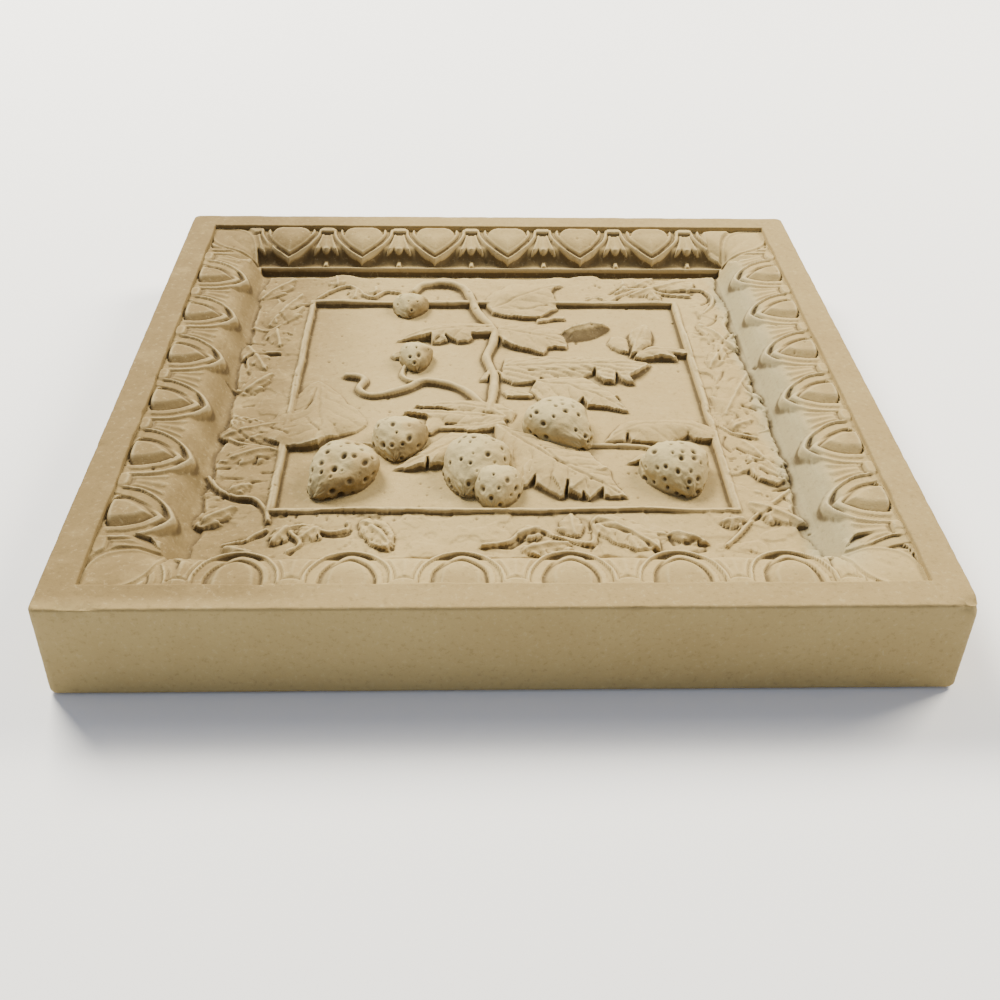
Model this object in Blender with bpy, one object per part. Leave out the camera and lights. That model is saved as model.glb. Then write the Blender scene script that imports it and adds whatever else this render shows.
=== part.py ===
# A square relief wall tile, cast in one piece: a flat rim, an egg-and-dart moulding with mitred corners,
# and a sunk panel with a thin bead and a strawberry vine. It lies face up, its back on z = 0,
# with +Y towards the top of the tile. Lengths are in metres.

import math

import bmesh
import bpy
from mathutils import Matrix, Vector

MM = 0.001

# Body
SIDE = 305 * MM
THICKNESS = 38 * MM
SIDE_DRAFT = 0.8 * MM
CORNER_RADIUS = 4 * MM
FACE_EDGE_ROUND = 1.6 * MM
BACK_EDGE_ROUND = 2.4 * MM

# Recess, from the rim inwards
RIM_WIDTH = 12.5 * MM
STRIP_WIDTH = 22 * MM
STRIP_DROP = 6.6 * MM
STRIP_FALL = 6.2 * MM
CAVETTO_WIDTH = 2.3 * MM
LIP_WIDTH = 1.2 * MM
LIP_HEIGHT = 1.2 * MM
PANEL_DEPTH = 16 * MM

# Egg-and-dart, measured in from the inner edge of the rim
EGG_WIDTH = 19 * MM
EGG_LENGTH = 21.6 * MM
EGG_START = -1.5 * MM
EGG_CROWN_DROP = 1.2 * MM
EGG_TILT = 0.2
EGG_TIP_TAPER = 0.26
EGG_TOP_SWELL = 0.06
BAND_WIDTH = 25 * MM
BAND_FOOT_WIDTH = 3.6 * MM
BAND_CREST_WIDTH = 2.2 * MM
BAND_START = 0.8 * MM
BAND_TIP = 22.3 * MM
BAND_CREST_DROP = 1.9 * MM
BAND_TIP_DROP = 5 * MM
BAND_STEPS = 4
DART_BLOCK_WIDTH = 7.4 * MM
DART_BLOCK_LENGTH = 4.2 * MM
DART_WIDTH = 14 * MM
DART_LENGTH = 21 * MM
DART_DROP = 0.9 * MM
DART_SLOPE = 0.23

# The four sides as the caster laid them out: turn of the side, place of one egg, pitch
SIDES = [
    {"turn": 0, "egg_at": 8.2 * MM, "pitch": 36.4 * MM},
    {"turn": -90, "egg_at": 17.8 * MM, "pitch": 36.5 * MM},
    {"turn": 180, "egg_at": 15.8 * MM, "pitch": 37.1 * MM},
    {"turn": 90, "egg_at": 13.5 * MM, "pitch": 37.2 * MM},
]

# Bead round the vine
BEAD_MARGIN_X = 27.75 * MM
BEAD_MARGIN_Y = 32 * MM
BEAD_SHIFT_X = 0.8 * MM
BEAD_RADIUS = 2.1 * MM

# Vine, laid out in steps of which 114.5 reach from the middle of the panel to its edge
LAYOUT_REACH = 114.5
STEM_WIDTH = 4.4 * MM
TENDRIL_WIDTH = 2.6 * MM
LEAF_EDGE_HEIGHT = 2.4 * MM
LEAF_RISE = 1.6 * MM
BURIED = 2 * MM
OVERLAP = 0.3 * MM
ROUND_ANGLE = math.radians(55)

# Worked out from the sizes above
FACE_Z = THICKNESS
FLOOR_Z = THICKNESS - PANEL_DEPTH
FOOT_Z = FACE_Z - STRIP_DROP - STRIP_FALL
RIM_INNER = SIDE / 2 - RIM_WIDTH
STRIP_INNER = RIM_INNER - STRIP_WIDTH
PANEL_HALF = STRIP_INNER - CAVETTO_WIDTH - LIP_WIDTH
LAYOUT_MM = PANEL_HALF / LAYOUT_REACH


def purge_scene():
    for obj in list(bpy.data.objects):
        bpy.data.objects.remove(obj, do_unlink=True)


def new_collection(name):
    collection = bpy.data.collections.new(name)
    bpy.context.scene.collection.children.link(collection)
    return collection


def cast_stone():
    material = bpy.data.materials.new("cast_stone")
    material.use_nodes = True
    shader = material.node_tree.nodes["Principled BSDF"]
    shader.inputs["Base Color"].default_value = (0.54, 0.46, 0.31, 1)
    shader.inputs["Roughness"].default_value = 0.92
    shader.inputs["Metallic"].default_value = 0
    return material


def mesh_object(name, bm, collection, rounded=False):
    bmesh.ops.recalc_face_normals(bm, faces=bm.faces)
    mesh = bpy.data.meshes.new(name)
    bm.to_mesh(mesh)
    bm.free()
    if rounded:
        mesh.shade_smooth()
        mesh.set_sharp_from_angle(angle=ROUND_ANGLE)
    obj = bpy.data.objects.new(name, mesh)
    collection.objects.link(obj)
    return obj


def make_cutter(obj):
    obj.hide_render = True
    obj.display_type = "WIRE"
    return obj


# Square slab with drafted sides and rounded corners
def slab(collection):
    bm = bmesh.new()
    bmesh.ops.create_cube(bm, size=1)
    bmesh.ops.scale(bm, verts=bm.verts, vec=(SIDE, SIDE, THICKNESS))
    bmesh.ops.translate(bm, verts=bm.verts, vec=(0, 0, THICKNESS / 2))
    shrink = 1 - 2 * SIDE_DRAFT / SIDE
    top = [v for v in bm.verts if v.co.z > THICKNESS / 2]
    bmesh.ops.scale(bm, verts=top, vec=(shrink, shrink, 1))

    def bevel(edges, radius, segments):
        bmesh.ops.bevel(bm, geom=edges, offset=radius, segments=segments, profile=0.5,
                        affect="EDGES", clamp_overlap=True)

    upright = [e for e in bm.edges if abs(e.verts[0].co.z - e.verts[1].co.z) > THICKNESS / 2]
    bevel(upright, CORNER_RADIUS, 4)
    rim_edges = [e for e in bm.edges if min(v.co.z for v in e.verts) > THICKNESS - MM]
    bevel(rim_edges, FACE_EDGE_ROUND, 2)
    back_edges = [e for e in bm.edges if max(v.co.z for v in e.verts) < MM]
    bevel(back_edges, BACK_EDGE_ROUND, 2)
    return mesh_object("tile", bm, collection)


# Section of the recess: wall under the rim, a quarter-ellipse strip, the cavetto, the lip, the floor
def recess_section():
    section = [(RIM_INNER, FACE_Z + BURIED), (RIM_INNER, FACE_Z - STRIP_DROP)]
    for f in (0.6, 0.88):
        section.append((RIM_INNER - f * STRIP_WIDTH, FOOT_Z + STRIP_FALL * math.sqrt(1 - f * f)))
    lip_outer = PANEL_HALF + LIP_WIDTH
    section += [
        (STRIP_INNER, FOOT_Z),
        (lip_outer + LIP_WIDTH / 4, FOOT_Z),
        (lip_outer, FOOT_Z + LIP_HEIGHT),
        (PANEL_HALF + LIP_WIDTH / 4, FOOT_Z + LIP_HEIGHT),
        (PANEL_HALF, FLOOR_Z),
        (0, FLOOR_Z),
        (0, FACE_Z + BURIED),
    ]
    return section


# Turned in four steps, a section makes a square with mitred corners
def recess_cutter(collection):
    bm = bmesh.new()
    diagonal = math.sqrt(2)
    verts = [bm.verts.new((a * diagonal, 0, z)) for a, z in recess_section()]
    edges = [bm.edges.new((verts[i], verts[i + 1])) for i in range(len(verts) - 1)]
    bmesh.ops.rotate(bm, verts=verts, cent=(0, 0, 0), matrix=Matrix.Rotation(math.radians(45), 3, "Z"))
    edges.append(bm.edges.new((verts[-1], verts[0])))
    bmesh.ops.spin(bm, geom=verts + edges, cent=(0, 0, 0), axis=(0, 0, 1), angle=math.tau, steps=4)
    bmesh.ops.remove_doubles(bm, verts=bm.verts, dist=0.00001)
    return make_cutter(mesh_object("recess", bm, collection))


# Keep only what lies inside the mitres of one side of the border
def trim_to_mitres(bm):
    for sign in (-1, 1):
        corner = Vector((sign * (RIM_INNER + OVERLAP), RIM_INNER, 0))
        away = Vector((sign, -1, 0)).normalized()
        reach = max((v.co - corner).dot(away) for v in bm.verts)
        if reach <= 0:
            continue
        cut = bmesh.ops.bisect_plane(bm, geom=bm.verts[:] + bm.edges[:] + bm.faces[:], dist=0.000001,
                                     plane_co=corner, plane_no=away, clear_outer=True)
        open_edges = [e for e in cut["geom_cut"] if isinstance(e, bmesh.types.BMEdge)]
        if open_edges:
            bmesh.ops.holes_fill(bm, edges=open_edges)
        if not bm.faces:
            return False
    return True


# Place a piece made along +X at the rim of the top side on one of the four sides
def place_on_side(name, bm, turn, collection, rounded=False):
    kept = trim_to_mitres(bm)
    if not kept or len(bm.faces) < 4:
        bm.free()
        return None
    bmesh.ops.rotate(bm, verts=bm.verts, cent=(0, 0, 0),
                     matrix=Matrix.Rotation(math.radians(turn), 3, "Z"))
    return make_cutter(mesh_object(name, bm, collection, rounded))


def egg(along):
    bm = bmesh.new()
    bmesh.ops.create_uvsphere(bm, u_segments=8, v_segments=6, radius=1)
    half_length = EGG_LENGTH / 2
    crown_z = FACE_Z - EGG_CROWN_DROP
    height = STRIP_DROP + EGG_CROWN_DROP
    for v in bm.verts:
        p = v.co.copy()
        taper = 1 - (EGG_TIP_TAPER if p.y > 0 else EGG_TOP_SWELL) * p.y
        inward = EGG_START + half_length * (1 + p.y)
        v.co.x = along + EGG_WIDTH / 2 * p.x * taper
        v.co.y = RIM_INNER - inward
        v.co.z = crown_z - height * (1 - p.z) - EGG_TILT * max(0, inward - half_length)
    return bm


# Middle line of the band at a station from -1 through the tip at 0 to 1
def band_point(along, station):
    t = abs(station)
    u = math.copysign(BAND_WIDTH / 2 * math.sin(math.pi / 2 * t ** 0.75), station)
    inward = BAND_TIP - (BAND_TIP - BAND_START) * t ** 1.25
    crest_z = FACE_Z - BAND_CREST_DROP - BAND_TIP_DROP * (1 - t) ** 2
    return Vector((along + u, RIM_INNER - inward, crest_z))


# Horseshoe band round an egg, pointed at its inner end: a strip along the crest, drawn down and out to its foot
def band(along):
    bm = bmesh.new()
    bmesh.ops.create_grid(bm, x_segments=BAND_STEPS, y_segments=1, size=0.5)
    outwards = {}
    for v in bm.verts:
        station, side = 2 * v.co.x, 2 * v.co.y
        step = 1 / BAND_STEPS
        ahead = band_point(along, min(1, station + step)) - band_point(along, max(-1, station - step))
        normal = Vector((-ahead.y, ahead.x, 0)).normalized() * side
        v.co = band_point(along, station) + normal * BAND_CREST_WIDTH / 2
        outwards[v.index] = normal
    crest = bm.faces[:]
    bm.verts.index_update()
    normals = {tuple(v.co): outwards[v.index] for v in bm.verts}
    foot = bmesh.ops.extrude_face_region(bm, geom=crest)
    for v in foot["geom"]:
        if isinstance(v, bmesh.types.BMVert):
            v.co += normals[tuple(v.co)] * (BAND_FOOT_WIDTH - BAND_CREST_WIDTH) / 2
            v.co.z = FOOT_Z
    return bm


# A small block at the rim, and below it a fan with three cusps
def dart_outline():
    block = DART_BLOCK_WIDTH / 2
    fan = DART_WIDTH / 2
    half = [
        (block, OVERLAP),
        (block * 0.8, DART_BLOCK_LENGTH),
        (fan, DART_LENGTH * 0.94),
        (fan * 0.52, DART_LENGTH * 0.86),
    ]
    return half + [(0, DART_LENGTH)] + [(-u, inward) for u, inward in reversed(half)]


def dart(along):
    bm = bmesh.new()
    outline = dart_outline()
    base = [bm.verts.new((along + u, RIM_INNER - inward, FOOT_Z)) for u, inward in outline]
    face = bm.faces.new(base)
    raised = bmesh.ops.extrude_face_region(bm, geom=[face])
    top = [v for v in raised["geom"] if isinstance(v, bmesh.types.BMVert)]
    for v in top:
        v.co.z = FACE_Z - DART_DROP - DART_SLOPE * (RIM_INNER - v.co.y)
    bmesh.ops.triangulate(bm, faces=bm.faces)
    return bm


# A round bar along a list of points, closed at its ends, as a mesh in a bmesh
def tube(points, radii, resolution, collection, cyclic=False):
    curve = bpy.data.curves.new("route", "CURVE")
    curve.dimensions = "3D"
    curve.bevel_depth = 1
    curve.bevel_resolution = resolution
    curve.use_fill_caps = not cyclic
    spline = curve.splines.new("POLY")
    spline.points.add(len(points) - 1)
    for spline_point, co, radius in zip(spline.points, points, radii):
        spline_point.co = (*co, 1)
        spline_point.radius = radius
    spline.use_cyclic_u = cyclic
    guide = bpy.data.objects.new("route", curve)
    collection.objects.link(guide)
    bpy.context.view_layer.update()
    mesh = bpy.data.meshes.new_from_object(guide.evaluated_get(bpy.context.evaluated_depsgraph_get()))
    bm = bmesh.new()
    bm.from_mesh(mesh)
    bmesh.ops.remove_doubles(bm, verts=bm.verts, dist=0.00001)
    bpy.data.objects.remove(guide, do_unlink=True)
    bpy.data.curves.remove(curve)
    bpy.data.meshes.remove(mesh)
    return bm


def border(collection):
    for side in SIDES:
        reach = RIM_INNER + side["pitch"]
        first = math.ceil((-reach - side["egg_at"]) / side["pitch"])
        last = math.floor((reach - side["egg_at"]) / side["pitch"])
        for i in range(first, last + 1):
            along = side["egg_at"] + i * side["pitch"]
            tag = f"{side['turn'] % 360}_{i - first}"
            place_on_side(f"egg_{tag}", egg(along), side["turn"], collection, rounded=True)
            place_on_side(f"band_{tag}", band(along), side["turn"], collection)
            place_on_side(f"dart_{tag}", dart(along + side["pitch"] / 2), side["turn"], collection)


def bead(collection):
    x, y = PANEL_HALF - BEAD_MARGIN_X, PANEL_HALF - BEAD_MARGIN_Y
    corners = [(-x, -y), (x, -y), (x, y), (-x, y)]
    points = [(cx + BEAD_SHIFT_X, cy, FLOOR_Z) for cx, cy in corners]
    bm = tube(points, [BEAD_RADIUS] * 4, 2, collection, cyclic=True)
    return make_cutter(mesh_object("bead", bm, collection, rounded=True))


# Point on the panel from the layout's millimetres, at a height over the floor
def on_panel(x, y, height=0.0):
    return Vector((x * LAYOUT_MM, y * LAYOUT_MM, FLOOR_Z + height))


# Smooth route through a few points (Catmull-Rom), several steps for each stretch
def smooth_route(points, steps):
    ends = [points[0] * 2 - points[1]] + points + [points[-1] * 2 - points[-2]]
    route = []
    for i in range(1, len(ends) - 2):
        a, b, c, d = ends[i - 1:i + 3]
        for j in range(steps):
            t = j / steps
            route.append(0.5 * (2 * b + (c - a) * t + (2 * a - 5 * b + 4 * c - d) * t ** 2
                                + (3 * b - a - 3 * c + d) * t ** 3))
    return route + [points[-1]]


def stem(name, layout, width, collection, taper=0.6, sides=1, sunk=0.25, steps=2):
    points = smooth_route([on_panel(x, y) for x, y in layout], steps)
    count = len(points) - 1
    radii = [width / 2 * (1 - (1 - taper) * i / count) for i in range(count + 1)]
    lifted = [p + Vector((0, 0, r * (1 - 2 * sunk))) for p, r in zip(points, radii)]
    bm = tube(lifted, radii, sides, collection)
    return make_cutter(mesh_object(name, bm, collection, rounded=True))


# Leaf on a grid: rows from base to tip, columns across, with a toothed outline and a raised midrib
def leaf(name, base, tip, left, right, collection, teeth=3, tooth=0.2, edges=(1.0, 1.0), rise=1.0, bend=0.0):
    rows = 2 * teeth
    bm = bmesh.new()
    bmesh.ops.create_grid(bm, x_segments=rows, y_segments=2, size=0.5)
    start, end = on_panel(*base), on_panel(*tip)
    axis = end - start
    across = Vector((-axis.y, axis.x, 0)).normalized()
    for v in bm.verts:
        s, t = v.co.x + 0.5, 2 * v.co.y
        full = math.sin(math.pi * (0.03 + 0.965 * s)) ** 0.7
        wave = abs(2 * (s * teeth % 1) - 1)
        outline = full * (1 - tooth * wave * abs(t))
        reach = (left if t > 0 else right) * LAYOUT_MM
        mid = start + axis * s + across * bend * MM * math.sin(math.pi * s)
        edge = (edges[0] if t > 0 else edges[1]) * LEAF_EDGE_HEIGHT
        crown = LEAF_EDGE_HEIGHT + LEAF_RISE * rise
        height = edge * abs(t) + crown * (1 - abs(t))
        v.co = mid + across * t * reach * outline
        v.co.z = FLOOR_Z + height * (0.45 + 0.55 * math.sin(math.pi * min(1, 0.15 + s * 0.7)))
    lowered = bmesh.ops.extrude_face_region(bm, geom=bm.faces[:])
    for v in lowered["geom"]:
        if isinstance(v, bmesh.types.BMVert):
            v.co.z = FLOOR_Z - BURIED
    return make_cutter(mesh_object(name, bm, collection))


# Strawberry: a ball drawn out to a blunt tip, half sunk in the panel
def berry(name, centre, heading, length, width, height, collection, lift=1.0):
    bm = bmesh.new()
    bmesh.ops.create_uvsphere(bm, u_segments=9, v_segments=7, radius=1)
    bmesh.ops.rotate(bm, verts=bm.verts, cent=(0, 0, 0), matrix=Matrix.Rotation(math.pi / 2, 3, "Y"))
    half_length, half_width = length / 2 * LAYOUT_MM, width / 2 * LAYOUT_MM
    for v in bm.verts:
        p = v.co.copy()
        swell = 1 - 0.26 * p.x - 0.12 * p.x * p.x
        v.co = (half_length * p.x, half_width * p.y * swell, (height - lift) * MM * p.z * swell)
    bmesh.ops.rotate(bm, verts=bm.verts, cent=(0, 0, 0),
                     matrix=Matrix.Rotation(math.radians(heading), 3, "Z"))
    bmesh.ops.translate(bm, verts=bm.verts, vec=on_panel(*centre, lift * MM))
    return make_cutter(mesh_object(name, bm, collection, rounded=True))


def vine(collection):
    stem("stem_main", [(-38, 92), (-34, 98), (-24, 101), (-14, 96), (-10, 84), (-6, 70), (0, 56), (-1, 44),
                       (-4, 32), (-1, 16), (-2, 0), (-4, -14)], STEM_WIDTH, collection, taper=0.9)
    stem("stem_west", [(-65, 16), (-57, 14), (-59, 5), (-54, 0), (-45, 2), (-34, 9), (-24, 10), (-14, 4),
                       (-6, -8), (2, -18)], STEM_WIDTH * 0.8, collection, taper=1)
    stem("stem_small_berry", [(-31, 11), (-38, 12), (-40, 22)], TENDRIL_WIDTH, collection, sides=0)
    stem("stem_east", [(34, -38), (46, -38), (58, -40)], TENDRIL_WIDTH * 1.2, collection, sides=0)
    tendrils = {
        "north_west": [(-84, 88), (-77, 97), (-70, 101), (-62, 92), (-57, 88), (-50, 95), (-43, 91)],
        "north_east": [(56, 86), (63, 93), (72, 98), (84, 94), (96, 92), (106, 86), (102, 74)],
        "east": [(112, 52), (103, 43), (100, 31)],
        "south_east": [(108, -66), (98, -78), (88, -92), (80, -101)],
        "south": [(60, -95), (47, -93), (42, -85), (33, -88), (31, -99), (21, -95), (12, -91), (4, -97), (-8, -101)],
        "south_west": [(-58, -90), (-68, -93), (-73, -88), (-72, -98), (-78, -103)],
        "west": [(-110, -58), (-104, -68), (-93, -73), (-86, -84)],
        "west_high": [(-97, 35), (-107, 32), (-109, 22)],
    }
    for name, route in tendrils.items():
        stem(f"tendril_{name}", route, TENDRIL_WIDTH, collection, sides=0, steps=1)

    leaf("leaf_west", (-1, 58), (-46, 46), 9, 11, collection, teeth=4, tooth=0.4, edges=(0.3, 1.1))
    leaf("leaf_north", (-4, 70), (34, 95), 18, 16, collection, teeth=3, tooth=0.28, edges=(0.6, 1.3), rise=1.3)
    leaf("leaf_east", (1, 53), (33, 49), 17, 14, collection, teeth=3, tooth=0.28, edges=(0.4, 1.1))
    leaf("leaf_curl", (28, 48), (54, 59), 5, 6, collection, teeth=2, tooth=0.0, edges=(0.2, 1.6), rise=1.0)
    leaf("leaf_long", (1, 20), (69, 23), 13, 12, collection, teeth=5, tooth=0.35, edges=(0.3, 1.1))
    leaf("leaf_bud_left", (60, 30), (51, 48), 5, 6, collection, teeth=2, tooth=0.0, rise=0.6)
    leaf("leaf_bud_top", (61, 28), (71, 59), 7, 7, collection, teeth=2, tooth=0.1, rise=1.6)
    leaf("leaf_bud_right", (63, 32), (89, 36), 7, 7, collection, teeth=2, tooth=0.25, edges=(0.5, 1.2))
    leaf("leaf_middle", (19, 11), (54, -13), 14, 12, collection, teeth=3, tooth=0.35, edges=(0.8, 1.0))
    leaf("leaf_centre", (6, -12), (-39, -15), 14, 12, collection, teeth=3, tooth=0.35, edges=(1.0, 0.4))
    leaf("leaf_low", (-8, -26), (-41, -52), 9, 10, collection, teeth=3, tooth=0.2, edges=(1.2, 1.0), rise=1.2)
    leaf("leaf_big", (2, -26), (46, -71), 18, 18, collection, teeth=4, tooth=0.28, edges=(0.9, 1.2), rise=1.8)
    leaf("leaf_far_west", (-78, 13), (-68, -36), 18, 15, collection, teeth=3, tooth=0.25, edges=(0.8, 0.6))
    leaf("leaf_far_east", (90, -26), (43, -33), 10, 12, collection, teeth=3, tooth=0.15, edges=(1.1, 0.4))
    leaf("leaf_band_west", (-104, 60), (-90, 90), 7, 7, collection, teeth=2, tooth=0.2, edges=(0.3, 0.3), rise=0.1)
    leaf("leaf_band_east", (96, -16), (110, 16), 9, 8, collection, teeth=3, tooth=0.25, edges=(0.3, 0.3), rise=0.1)
    leaf("leaf_band_low", (-110, -33), (-88, -26), 8, 8, collection, teeth=3, tooth=0.25, edges=(0.4, 0.5), rise=0.2)

    berry("berry_south_west", (-61, -59), 245, 34, 25, 12.5, collection)
    berry("berry_south", (-10.5, -55), 252, 35, 26, 12.5, collection)
    berry("berry_front", (-2, -69), 262, 23, 19, 10.5, collection)
    berry("berry_middle", (25, -27), 295, 34, 27, 12.5, collection)
    berry("berry_south_east", (68, -58), 280, 31, 28, 12.5, collection)
    berry("berry_west", (-40.5, -36), 260, 26, 23, 10, collection)
    berry("berry_small", (-35.5, 30), 275, 20, 16, 8, collection)
    berry("berry_north_west", (-39.5, 78.5), 268, 18, 18, 7.5, collection)


def build():
    purge_scene()
    parts = new_collection("relief_wall_tile")
    carvings = new_collection("carvings")
    cutters = new_collection("cutters")

    tile = slab(parts)
    tile.data.materials.append(cast_stone())
    border(carvings)
    bead(carvings)
    vine(carvings)

    sink = tile.modifiers.new("sink_panel", "BOOLEAN")
    sink.operation = "DIFFERENCE"
    sink.object = recess_cutter(cutters)
    carve = tile.modifiers.new("add_carving", "BOOLEAN")
    carve.operation = "UNION"
    carve.operand_type = "COLLECTION"
    carve.collection = carvings


build()
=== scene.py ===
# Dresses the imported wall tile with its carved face, seeded strawberries and worn stone, on a pale floor.
# Shapes are worked out in millimetres with the tile face up, and go into the meshes in metres.
import math

import bpy
import numpy as np
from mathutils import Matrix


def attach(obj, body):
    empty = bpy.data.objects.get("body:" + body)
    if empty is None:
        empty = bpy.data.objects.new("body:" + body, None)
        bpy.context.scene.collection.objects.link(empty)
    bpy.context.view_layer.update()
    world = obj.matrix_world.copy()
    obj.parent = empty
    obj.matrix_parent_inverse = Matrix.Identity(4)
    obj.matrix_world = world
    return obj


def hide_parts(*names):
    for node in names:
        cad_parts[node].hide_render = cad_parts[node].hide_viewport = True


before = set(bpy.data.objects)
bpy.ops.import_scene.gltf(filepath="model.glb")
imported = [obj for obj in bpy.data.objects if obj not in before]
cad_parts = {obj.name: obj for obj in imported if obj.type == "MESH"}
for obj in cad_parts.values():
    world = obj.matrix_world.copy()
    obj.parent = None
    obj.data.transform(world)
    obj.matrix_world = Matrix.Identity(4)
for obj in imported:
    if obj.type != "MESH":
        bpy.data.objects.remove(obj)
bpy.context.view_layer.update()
mm = 0.001

tile = {"halfSide": 152.45, "thick": 38, "draft": 0.15, "corner": 2.8, "faceRound": 1.2, "backRound": 2.4,
        "innerRound": 0.7, "rimInner": 140, "floorZ": 22, "trayZ": 19}


# Helpers on whole arrays


# 0 below low, 1 above high and an S curve between
def easeStep(low, high, value):
    t = np.clip((value - low) / (high - low), 0, 1)
    return t * t * (3 - 2 * t)


# the larger of two heights, with a fillet of about the given size where they meet
def fillet(one, other, size):
    share = np.clip(0.5 + 0.5 * (one - other) / size, 0, 1)
    return other * (1 - share) + one * share + size * share * (1 - share) * 0.5


# random numbers from -1 to 1 on a square lattice, blended with an S curve between its corners
def latticeNoise(x, y, size, seed):
    table = np.random.RandomState(seed).rand(61, 67) * 2 - 1
    gx, gy = np.asarray(x) / size + 500.0, np.asarray(y) / size + 500.0
    ix, iy = np.floor(gx).astype(int), np.floor(gy).astype(int)
    fx, fy = gx - ix, gy - iy
    fx, fy = fx * fx * (3 - 2 * fx), fy * fy * (3 - 2 * fy)
    near = table[ix % 61, iy % 67] * (1 - fx) + table[(ix + 1) % 61, iy % 67] * fx
    far = table[ix % 61, (iy + 1) % 67] * (1 - fx) + table[(ix + 1) % 61, (iy + 1) % 67] * fx
    return near * (1 - fy) + far * fy


# several sizes of lattice noise on top of each other, each half as large and half as strong
def roughness(x, y, size, seed, layers=3):
    total = 0
    for i in range(layers):
        total = total + latticeNoise(x, y, size / 2 ** i, seed + i) / 2 ** i
    return total


# a smooth route through a few points (Catmull-Rom), with the same number of steps in each stretch
def smoothRoute(points, steps=8):
    p = np.array(points, float)
    p = np.vstack([2 * p[0] - p[1], p, 2 * p[-1] - p[-2]])
    t = np.linspace(0, 1, steps, endpoint=False)[:, None]
    runs = []
    for i in range(1, len(p) - 2):
        a, b, c, d = p[i - 1:i + 3]
        runs.append(0.5 * (2 * b + (c - a) * t + (2 * a - 5 * b + 4 * c - d) * t ** 2
                           + (3 * b - a - 3 * c + d) * t ** 3))
    return np.vstack(runs + [p[-2:-1]])


# mesh from points in millimetres, its four-cornered faces and a few extra faces of other kinds
def putMesh(name, points, quads, extra=(), smooth=True, normals=None):
    mesh = bpy.data.meshes.new(name)
    mesh.vertices.add(len(points))
    mesh.vertices.foreach_set("co", (np.asarray(points) * mm).astype(np.float32).ravel())
    sizes = [4] * len(quads) + [len(f) for f in extra]
    starts = np.concatenate([[0], np.cumsum(sizes)[:-1]]).astype(np.int32)
    corners = np.concatenate([np.asarray(quads).ravel()] + [np.asarray(f) for f in extra]).astype(np.int32)
    mesh.loops.add(len(corners))
    mesh.loops.foreach_set("vertex_index", corners)
    mesh.polygons.add(len(sizes))
    mesh.polygons.foreach_set("loop_start", starts)
    mesh.polygons.foreach_set("use_smooth", np.full(len(sizes), smooth))
    mesh.update(calc_edges=True)
    mesh.validate()
    if normals is not None:
        mesh.normals_split_custom_set_from_vertices(normals.astype(np.float32))
    piece = bpy.data.objects.new(name, mesh)
    bpy.context.scene.collection.objects.link(piece)
    return piece


# one number for each point, which the stone finish reads
def putValues(piece, name, values):
    values = np.asarray(values, np.float32).ravel()
    attribute = piece.data.attributes.new(name, "FLOAT", "POINT")
    attribute.data.foreach_set("value", values)


# quads of a grid of rows by columns, numbered row by row; wrapped joins the last column to the first
def gridQuads(rows, columns, wrapped=False):
    r, c = np.meshgrid(np.arange(rows - 1), np.arange(columns if wrapped else columns - 1), indexing="ij")
    right = (c + 1) % columns
    quads = [r * columns + c, r * columns + right, (r + 1) * columns + right, (r + 1) * columns + c]
    return np.stack(quads, axis=-1).reshape(-1, 4)


# The carved face is one height over a grid of uneven lines, close together where the carving is fine
faceGrid = {
    "x": [(-140.8, 0.6), (-139.6, 0.55), (-118.6, 0.36), (-113.2, 0.6), (-92, 0.52), (92, 0.6),
          (113.2, 0.36), (118.6, 0.55), (139.6, 0.6), (140.8, 1)],
    "y": [(-140.8, 0.6), (-139.6, 0.45), (-118.6, 0.32), (-113.2, 0.5), (-92, 0.47), (0, 0.52), (92, 0.6),
          (113.2, 0.36), (118.6, 0.55), (139.6, 0.6), (140.8, 1)],
}


# lines from stop to stop, each stop giving its place and the gap that follows it
def gridLines(stops):
    runs = [np.linspace(a, b, max(1, round((b - a) / gap)), endpoint=False)
            for (a, gap), (b, _) in zip(stops, stops[1:])]
    return np.concatenate(runs + [[stops[-1][0]]])


xLines, yLines = gridLines(faceGrid["x"]), gridLines(faceGrid["y"])
gridX, gridY = np.meshgrid(xLines, yLines)


# slices of the grid inside a box
def patch(x0, x1, y0, y1):
    i0, i1 = np.searchsorted(xLines, (x0, x1))
    j0, j1 = np.searchsorted(yLines, (y0, y1))
    return slice(j0, j1), slice(i0, i1)


# Cove under the moulding, as distance from the tile's middle and height: crisp to the north, else worn soft
cove = {
    "crisp": [(0, 22), (113.7, 22), (114.2, 22.5), (114.7, 25.9), (115.1, 26.4), (115.6, 26.3),
              (116.2, 25.4), (117, 25.1), (118, 25.3), (141, 25.3)],
    "soft": [(0, 22), (108.5, 22), (111, 22.5), (113, 23.6), (114.5, 25.2), (116, 27.4), (117.5, 29.4),
             (119, 30.8), (122, 31.8), (141, 32)],
}

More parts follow.
